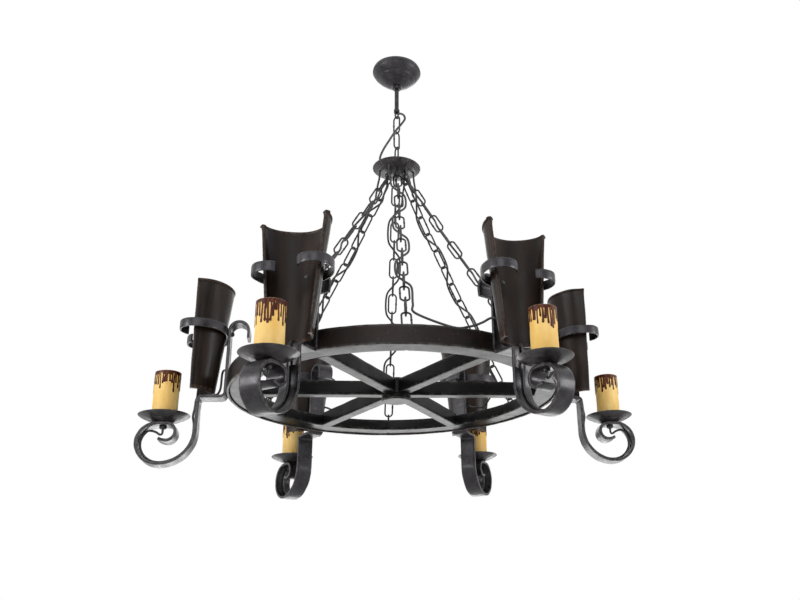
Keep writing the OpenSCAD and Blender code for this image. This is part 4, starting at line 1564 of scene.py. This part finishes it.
@dataclass
class DripPans:
    """The six spun drip pans with their beaten wide brims."""

    radius: float = 39.25 * MM
    depth: float = 13.0 * MM
    wall: float = 1.2 * MM
    base: float = 11.0 * MM
    bore: float = 4.9 * MM
    knots_r: tuple[float, ...] = (11.0, 18.0, 25.125, 33.0, 37.75, 39.25)
    knots_z: tuple[float, ...] = (0.0, 2.2, 4.68, 8.3, 11.18, 13.0)
    marks: int = 90
    mark_radius: float = 5.5 * MM
    mark_depth: float = 0.3 * MM
    wave_height: float = 0.45 * MM
    rows: int = 44
    columns: int = 128

    def build(self) -> None:
        """Makes each pan from a smooth closed outline: flat base, flared side and turned-up lip.

        The side runs through the knots, averaged over five neighbours. The
        brim waves with the square of the radius.
        """
        low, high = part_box("drip_pan_1")
        lamp_r = (low.x + high.x) / 2
        knots_r, knots_z = np.array(self.knots_r) * MM, np.array(self.knots_z) * MM
        r = np.linspace(self.base, self.radius, self.rows)
        z = np.interp(r, knots_r, knots_z)
        z = np.convolve(np.pad(z, 2, mode="edge"), np.ones(5) / 5, "valid")
        outside = np.vstack([[self.bore, 0.0], np.stack([r, z], 1)])
        lip = [
            [self.radius - 0.35 * MM, self.depth + 0.1 * MM],
            [self.radius - 1.0 * MM, self.depth],
        ]
        back = np.stack([r[::-1][2:], z[::-1][2:] + self.wall], 1)
        inside = np.vstack([back, [self.bore, self.wall]])
        outline = np.vstack([outside, lip, inside])
        points = revolved(outline, self.columns)
        worn = np.clip((outline[:, 0] - self.radius + 1.4 * MM) / (1.2 * MM), 0.0, 1.0)
        for arm in range(ARMS):
            marks = hammer_marks(points, self.marks, self.mark_radius, 600 + arm)
            marks = marks * (outline[:, 0] > self.base)[:, None]
            wave = ripple(points, 50 * MM, 640 + arm) * (outline[:, 0] / self.radius)[:, None] ** 2
            beaten = points.copy()
            beaten[..., 2] += self.wave_height * wave - self.mark_depth * marks
            beaten[..., 2] = np.minimum(beaten[..., 2], self.depth)
            grid = Grid(beaten, True, True, worn=np.repeat(worn[:, None], self.columns, 1))
            placed = grid.points + np.array([lamp_r, 0.0, low.z])
            name = f"drip_pan_{arm + 1}"
            piece = grid.placed(turn_z(placed, arm * ARM_STEP))
            # The pans wear the paler iron, which paints in the light that they catch.
            make_piece(
                name + "_beaten", [piece], Slot.IRON, Body.WHEEL, (name,), finish=PALETTE.beaten
            )


@dataclass
class CandleSleeves:
    """The six candle sleeves with the thick drips that run down from their rims.

    The drips' lengths and half widths and the band's height are in
    millimetres. The bare wall lies inside the full radius by the coat's room.
    """

    radius: float = 20.0 * MM
    wall: float = 2.0 * MM
    height: float = 78.0 * MM
    columns: int = 240
    drips: int = 33
    relief: float = 0.75 * MM
    coat_room: float = 0.8 * MM
    dripped_height: float = 42.0 * MM
    dripped_rows: int = 84
    plain_rows: int = 12
    row_gap: float = 2.0 * MM
    lengths: tuple[float, float] = (17.0, 37.0)
    half_widths: tuple[float, float] = (1.1, 1.65)
    band: float = 6.4
    softness: float = 0.35 * MM
    wander: float = 0.4 * MM
    swollen_end: float = 0.25
    unevenness: float = 0.25 * MM

    def drip_mask(self, angle: Array, depth: Array, seed: int) -> Array:
        """How far the coat covers each point.

        The coat is the union of a wavy band at the rim and of narrow tongues.
        A tongue covers a point when the point lies within its half width
        sideways, and above its end, which is a half circle. It wanders from
        side to side as a sine of the depth, and swells towards its end.

        Args:
            angle: Angle round the sleeve, as columns.
            depth: Depth under the rim, as rows.
            seed: Seed of the tongues.

        Returns:
            Values (rows, columns) that pass 0.5 at the coat's edge.
        """
        rng = np.random.default_rng(seed)
        shift = rng.uniform(-0.25, 0.25, self.drips)
        centres = (np.arange(self.drips) + shift) * math.tau / self.drips
        lengths = rng.uniform(*self.lengths, self.drips) * MM
        widths = rng.uniform(*self.half_widths, self.drips) * MM
        rows, columns = depth[:, None, None], angle[None, :, None]
        wander = self.wander * np.sin(rows / (7 * MM) + centres * 9.0)
        off = (columns - centres + math.pi) % math.tau - math.pi
        off = off * self.radius - wander
        beyond = np.maximum(rows - (lengths - widths), 0.0)
        from_end = (rows - lengths + 2.5 * MM) / (2.5 * MM)
        bulb = widths * (1.0 + self.swollen_end * np.exp(-(from_end**2)))
        inside = bulb - np.sqrt(off**2 + beyond**2)
        wave = 1.6 * np.sin(angle * 5 + seed) + 1.2 * np.sin(angle * 11 + 2 * seed)
        band = (self.band + wave) * MM
        covered = np.maximum(inside.max(-1), band[None, :] - depth[:, None])
        return 0.5 + 0.5 * np.tanh(covered / self.softness)

    def build(self) -> None:
        """Makes each sleeve: outer wall with its drips, rounded rim, inner wall and foot."""
        low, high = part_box("candle_1")
        lamp_r = (low.x + high.x) / 2
        angle = np.linspace(0.0, math.tau, self.columns, endpoint=False)
        dripped = np.linspace(0.6 * MM, self.dripped_height, self.dripped_rows)
        plain = np.linspace(self.dripped_height + self.row_gap, self.height, self.plain_rows)
        depth = np.concatenate([dripped, plain])
        bare_r, inner_r = self.radius - self.coat_room, self.radius - self.wall
        outer = np.stack([np.full(len(depth), bare_r), self.height - depth], 1)[::-1]
        rim_r = inner_r + np.array([1.0, 0.6, 0.2]) * MM
        rim = np.stack([rim_r, self.height - np.array([0.3, 0.05, 0.3]) * MM], 1)
        inner_z = np.array([self.height - 1.4 * MM, 60.0 * MM, 30.0 * MM, 0.0])
        inner = np.stack([np.full(len(inner_z), inner_r), inner_z], 1)
        outline = np.vstack([outer, rim, inner])
        outside = (outline[:, 0] > bare_r - 0.2 * MM)[:, None]
        for arm in range(ARMS):
            coat = np.zeros((len(outline), self.columns))
            mask = self.drip_mask(angle, depth, 700 + arm)
            coat[: len(depth)] = mask[::-1]
            coat[len(depth)] = mask[0]
            points = revolved(outline, self.columns)
            wave = 0.5 * self.unevenness * ripple(points, 30 * MM, 720 + arm)
            out = (coat * self.relief + wave) * outside
            points[..., :2] += np.stack([np.cos(angle), np.sin(angle)], -1)[None] * out[..., None]
            worn = np.zeros((len(outline), self.columns))
            worn[len(depth) + 1 : len(depth) + 3] = 1.0
            worn[len(depth) - 1 : len(depth) + 1] = 0.7
            grid = Grid(points, True, True, worn=worn)
            placed = grid.points + np.array([lamp_r, 0.0, low.z])
            name = f"candle_{arm + 1}"
            piece = grid.placed(turn_z(placed, arm * ARM_STEP))
            drip = {"drip": coat.reshape(-1)}
            make_piece(name + "_dripped", [piece], Slot.WAX, name, (name,), drip, 60.0)


# ---------- cords ----------


@dataclass
class Flexes:
    """The supply cable beside the hanging links and the six lamp leads woven through the chains.

    The routes' stations repeat the source's, in millimetres. The supply
    cable's are in the row frame. A lead's are in the upright plane of its own
    chain or arm, and on the arm their height is over the tyre's lower edge.
    The last two, at the lamp, are heights over the pan's foot.
    """

    supply_d: float = 4.0 * MM
    lead_d: float = 3.6 * MM
    sides: int = 12
    point_step: float = 2.2 * MM
    weave_reach: float = 17.0
    weave_side: float = 11.0
    bar_t: float = 5.0
    clearance: float = 0.15
    lamp_ends: tuple[float, float] = (-9.0, -5.0)
    line: ChainLine = field(default_factory=ChainLine)
    bend_start: tuple[float, float, float] = (0.0, 0.0, -0.098)
    bend_end: tuple[float, float, float] = (0.0, 0.0, -0.150)
    supply_route: tuple[tuple[float, float, float], ...] = (
        (0, 0, -94), (0, 0, -99), (2, -2, -101.5), (7, -5, -102.5), (13, -7, -107), (15, -8, -115),
        (12, -12, -124), (6, -15, -135), (-1, -17, -146), (-8, -17, -158), (-15, -15, -170),
        (-22, -13, -182), (-28, -10, -194), (-31, -7, -204), (-29, -4.5, -211), (-22, -4, -213.8),
        (-14, -5, -214.6), (-9, -5, -217.2), (-8.4, -4.8, -222),
    )
    lead_top: tuple[tuple[float, float, float], ...] = (
        (9, -5.2, -224), (12, -7, -222.5), (17, -9.8, -220.5), (22, -12.7, -219.5), (25.5, -14.7, -221),
        (26.8, -15.5, -226), (26.8, -15.5, -234), (28, -15, -244), (32, -13, -258),
    )
    lead_low: tuple[tuple[float, float, float], ...] = (
        (243, -65, 36), (254, -42, 38), (264, -27, 44), (272.5, -20, 49), (279.5, -15, 49),
        (281, -7, 43), (281, -1, 33), (281, 0, 20), (282, 0, 11), (285.2, 0, 4.6), (290, 0, 2.2),
        (299, 0, 2.1), (307, 0, 2.2), (312.7, 0, 1.3), (316.3, 0, -2.3), (317.8, 0, -8),
        (318.5, 0, -20), (320, 0, -32), (317.6, 0, -46),
    )
    lead_in: tuple[tuple[float, float], ...] = ((380, -55.5), (373, -57.5), (367, -61.5), (363.8, -60))

    def tube(
        self, name: str, route: Array, diameter: float, across: Array, node: str, body: Body | None
    ) -> bpy.types.Object:
        """Args:
            name: Piece name.
            route: Stations in metres.
            diameter: Diameter in metres.
            across: A direction that the route never runs along.
            node: CAD node that it stands for.
            body: CAD body that it rides on, or None.

        Returns:
            The cord's object.
        """
        path = smooth_route(route, self.point_step)
        points = sweep(path, across, circle_section(diameter / 2, self.sides, len(path)))
        piece = make_piece(name, [Grid(points, False, True, True)], Slot.FLEX, body, (node,))
        LOG.info("%s: %.0f mm long", name, route_length(path) / MM)
        return piece

    def weave(self) -> Array:
        """Stations that carry a lead from side to side through every second link.

        Returns:
            Points (n, 3) in metres, in the chain's upright plane.
        """
        count = 2 * ((self.line.count - 3) // 4) + 1
        rows = []
        for j in range(count):
            s = self.line.station(2 * j + 1)
            k = 1.0 if j % 2 == 0 else -1.0
            e = np.array([-1.0, 0.0, 1.0])
            rows.append(self.line.point(s + e * self.weave_reach, e * k * self.weave_side))
        return np.vstack(rows)

    def scroll_side(self) -> Array:
        """Stations on the inner side of the scroll's first three bends.

        Each bend has a centre, a radius, a first heading and the angles of its stations.

        Returns:
            Points (n, 3) in millimetres, in the arm's upright plane.
        """
        gap = self.bar_t / 2 + self.lead_d / MM / 2 + self.clearance
        bends = (
            (365.0, -57.0, 52.0, -90.0, (8, 26, 44, 62, 80)),
            (365.0, -75.0, 34.0, 0.0, (8, 30, 52, 74)),
            (370.0, -75.0, 29.0, 90.0, (6, 28, 50)),
        )
        rows = []
        for x, z, radius, heading, angles in bends:
            a = np.radians(heading + np.array(angles, float))
            side = radius - gap
            rows.append(np.stack([x + side * np.sin(a), 0 * a, z - side * np.cos(a)], 1))
        return np.vstack(rows)

    def build(self) -> None:
        """Makes the supply cable and the six leads."""
        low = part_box("tyre")[0].z / MM
        pan_low, pan_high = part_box("drip_pan_1")
        lamp_r = (pan_low.x + pan_high.x) / 2 / MM
        supply = np.array(self.supply_route) * MM
        facing = np.array([0.35, 0.94, 0.0])
        cable = self.tube("supply_cable_flex", supply, self.supply_d, facing, "supply_cable", None)
        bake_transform(cable)
        inner = np.array([[x, 0.0, z] for x, z in self.lead_in])
        along_arm = np.vstack([np.array(self.lead_low), self.scroll_side(), inner])
        along_arm = along_arm + np.array([0.0, 0.0, low])
        end = np.array([[lamp_r, 0.0, pan_low.z / MM + z] for z in self.lamp_ends])
        at_arm = turn_z(np.vstack([along_arm, end]), ARM_STEP / 2) * MM
        leaving = self.line.length - np.array([62.0, 38.0])
        reach = self.line.point(leaving, np.array([11.0, 14.0]))
        route = np.vstack([np.array(self.lead_top) * MM, self.weave(), reach, at_arm])
        side = np.array([-0.35, 0.9, 0.25])
        for arm in range(ARMS):
            angle = (arm + 0.5) * ARM_STEP
            across = turn_z(side[None], angle)[0]
            name = f"lamp_lead_{arm + 1}"
            self.tube(name, turn_z(route, angle), self.lead_d, across, "lamp_leads", Body.WHEEL)


# ---------- studio ----------


@dataclass
class Studio:
    """A plain pale floor far under the object, soft lamps and the photograph's camera.

    The camera's stand is relative to the tyre's lower plane, and its angles are in degrees.
    """

    floor_z: float = -1.55
    floor_half: float = 30.0
    focal_px: float = 870.3
    image_w: float = 800.0
    sensor: float = 36.0
    shift_px: float = -100.0
    stand: tuple[float, float, float] = (-0.0848, -1.4057, -0.3973)
    heading: float = 10.77
    pitch: float = 21.95
    roll: float = -2.68
    world_light: float = 0.55
    floor_glow: float = 0.64
    floor_bounce: float = 0.8
    floor_shown: float = 0.26

    def camera(self) -> None:
        """Places the camera below the wheel, looking up at it."""
        data = bpy.data.cameras.new("photo_camera")
        data.sensor_width = self.sensor
        data.lens = self.focal_px * self.sensor / self.image_w
        data.shift_x = self.shift_px / self.image_w
        data.clip_start, data.clip_end = 0.01, 60.0
        yaw, pitch, roll = (math.radians(v) for v in (self.heading, self.pitch, self.roll))
        place = Vector(self.stand) + Vector((0.0, 0.0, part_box("tyre")[0].z))
        flat = math.cos(pitch)
        ahead = Vector((math.sin(yaw) * flat, math.cos(yaw) * flat, math.sin(pitch)))
        right = Vector((math.cos(yaw), -math.sin(yaw), 0.0))
        up = right.cross(ahead)
        right, up = (
            right * math.cos(roll) + up * math.sin(roll),
            up * math.cos(roll) - right * math.sin(roll),
        )
        camera = bpy.data.objects.new("photo_camera", data)
        camera.matrix_world = Matrix(
            ((right.x, up.x, -ahead.x, place.x), (right.y, up.y, -ahead.y, place.y),
             (right.z, up.z, -ahead.z, place.z), (0.0, 0.0, 0.0, 1.0))
        )
        bpy.context.scene.collection.objects.link(camera)
        bpy.context.scene.camera = camera

    def lamp(
        self,
        name: str,
        place: tuple[float, float, float],
        size: float,
        watts: float,
        target: tuple[float, float, float] = (0.0, 0.0, -0.55),
    ) -> None:
        """Adds a square soft lamp.

        Args:
            name: Lamp name.
            place: Where it stands.
            size: Side of the square.
            watts: Power.
            target: The point that it faces.
        """
        data = bpy.data.lights.new(name, "AREA")
        data.shape, data.size, data.energy = "SQUARE", size, watts
        lamp = bpy.data.objects.new(name, data)
        lamp.location = place
        aim = Vector(target) - Vector(place)
        lamp.rotation_euler = aim.to_track_quat("-Z", "Y").to_euler()
        lamp.visible_camera = False
        bpy.context.scene.collection.objects.link(lamp)

    def seen_white(self, tree: bpy.types.NodeTree) -> bpy.types.NodeSocket:
        """Tells the rays that show a surface from those that only light others.

        Args:
            tree: The node tree that the nodes go into.

        Returns:
            1 for camera, glossy and transmission rays and 0 for the rest.
        """
        rays = tree.nodes.new("ShaderNodeLightPath")
        total = rays.outputs["Is Camera Ray"]
        for name in ("Is Glossy Ray", "Is Transmission Ray"):
            node = tree.nodes.new("ShaderNodeMath")
            node.operation = "MAXIMUM"
            tree.links.new(total, node.inputs[0])
            tree.links.new(rays.outputs[name], node.inputs[1])
            total = node.outputs["Value"]
        return total

    def world(self) -> None:
        """White where it is seen, and a plain soft light elsewhere."""
        world = bpy.data.worlds.new("studio")
        world.use_nodes = True
        tree = world.node_tree
        tree.nodes.clear()
        output = tree.nodes.new("ShaderNodeOutputWorld")
        soft = tree.nodes.new("ShaderNodeBackground")
        soft.inputs["Strength"].default_value = self.world_light
        white = tree.nodes.new("ShaderNodeBackground")
        for node in (soft, white):
            node.inputs["Color"].default_value = (1.0, 1.0, 1.0, 1.0)
        mix = tree.nodes.new("ShaderNodeMixShader")
        tree.links.new(self.seen_white(tree), mix.inputs["Fac"])
        tree.links.new(soft.outputs["Background"], mix.inputs[1])
        tree.links.new(white.outputs["Background"], mix.inputs[2])
        tree.links.new(mix.outputs["Shader"], output.inputs["Surface"])
        bpy.context.scene.world = world

    def floor(self) -> None:
        """A pale matt floor.

        Where it is seen, it is darker matt and glows, so that it stays near
        white without clipping and keeps the object's soft shadow.
        """
        recipe = Recipe("pale_floor")
        seen = self.seen_white(recipe.tree)
        cloud = recipe.noise(3.0, 2.0)
        pale = self.floor_shown * 1.03
        shown = recipe.ramp(cloud, 0.3, 0.7, (self.floor_shown,) * 3, (pale,) * 3)
        recipe.link(recipe.mix(seen, (self.floor_bounce,) * 3, shown), "Base Color")
        recipe.set(Roughness=0.9)
        glow = recipe.tree.nodes.new("ShaderNodeMath")
        glow.operation = "MULTIPLY"
        glow.inputs[1].default_value = self.floor_glow
        recipe.tree.links.new(seen, glow.inputs[0])
        recipe.link(glow.outputs["Value"], "Emission Strength")
        recipe.set(Emission_Color=(1.0, 1.0, 1.0, 1.0))
        mesh = bpy.data.meshes.new("studio_floor")
        half = self.floor_half
        corners = [(-half, -half), (half, -half), (half, half), (-half, half)]
        mesh.from_pydata([(x, y, self.floor_z) for x, y in corners], [], [(0, 1, 2, 3)])
        mesh.materials.append(recipe.material)
        floor = bpy.data.objects.new("studio_floor", mesh)
        bpy.context.scene.collection.objects.link(floor)

    def build(self) -> None:
        """Sets the camera, the lamps, the world and the floor."""
        self.camera()
        self.world()
        self.floor()
        self.lamp("key", (-2.0, -1.12, -0.35), 0.85, 27.0)
        self.lamp("fill", (2.05, -0.86, -0.38), 0.85, 22.0)
        self.lamp("front", (-0.3, -2.9, 0.4), 1.4, 18.0)
        self.lamp("back", (0.4, 2.4, 0.5), 1.6, 8.0)
        self.lamp("low", (0.2, 3.0, -1.5), 3.0, 92.0, (0.2, 3.0, 0.0))
        bpy.context.scene.view_settings.view_transform = "Standard"


def main() -> None:
    """Builds every sub-assembly in order."""
    logging.basicConfig(level=logging.INFO, format="%(name)s: %(message)s")
    PALETTE.build()
    PALETTE.dress_nodes()
    Studio().build()
    Flexes().build()
    CeilingCup().build()
    HangingLinks().build()
    WheelChains().build()
    CrownDish().build()
    IronTyre().build()
    WheelTimber().build()
    ScrolledArms().build()
    TileClasps().build()
    HalfConeTiles().build()
    DripPans().build()
    CandleSleeves().build()
    bpy.context.view_layer.update()


if __name__ == "__main__":
    main()
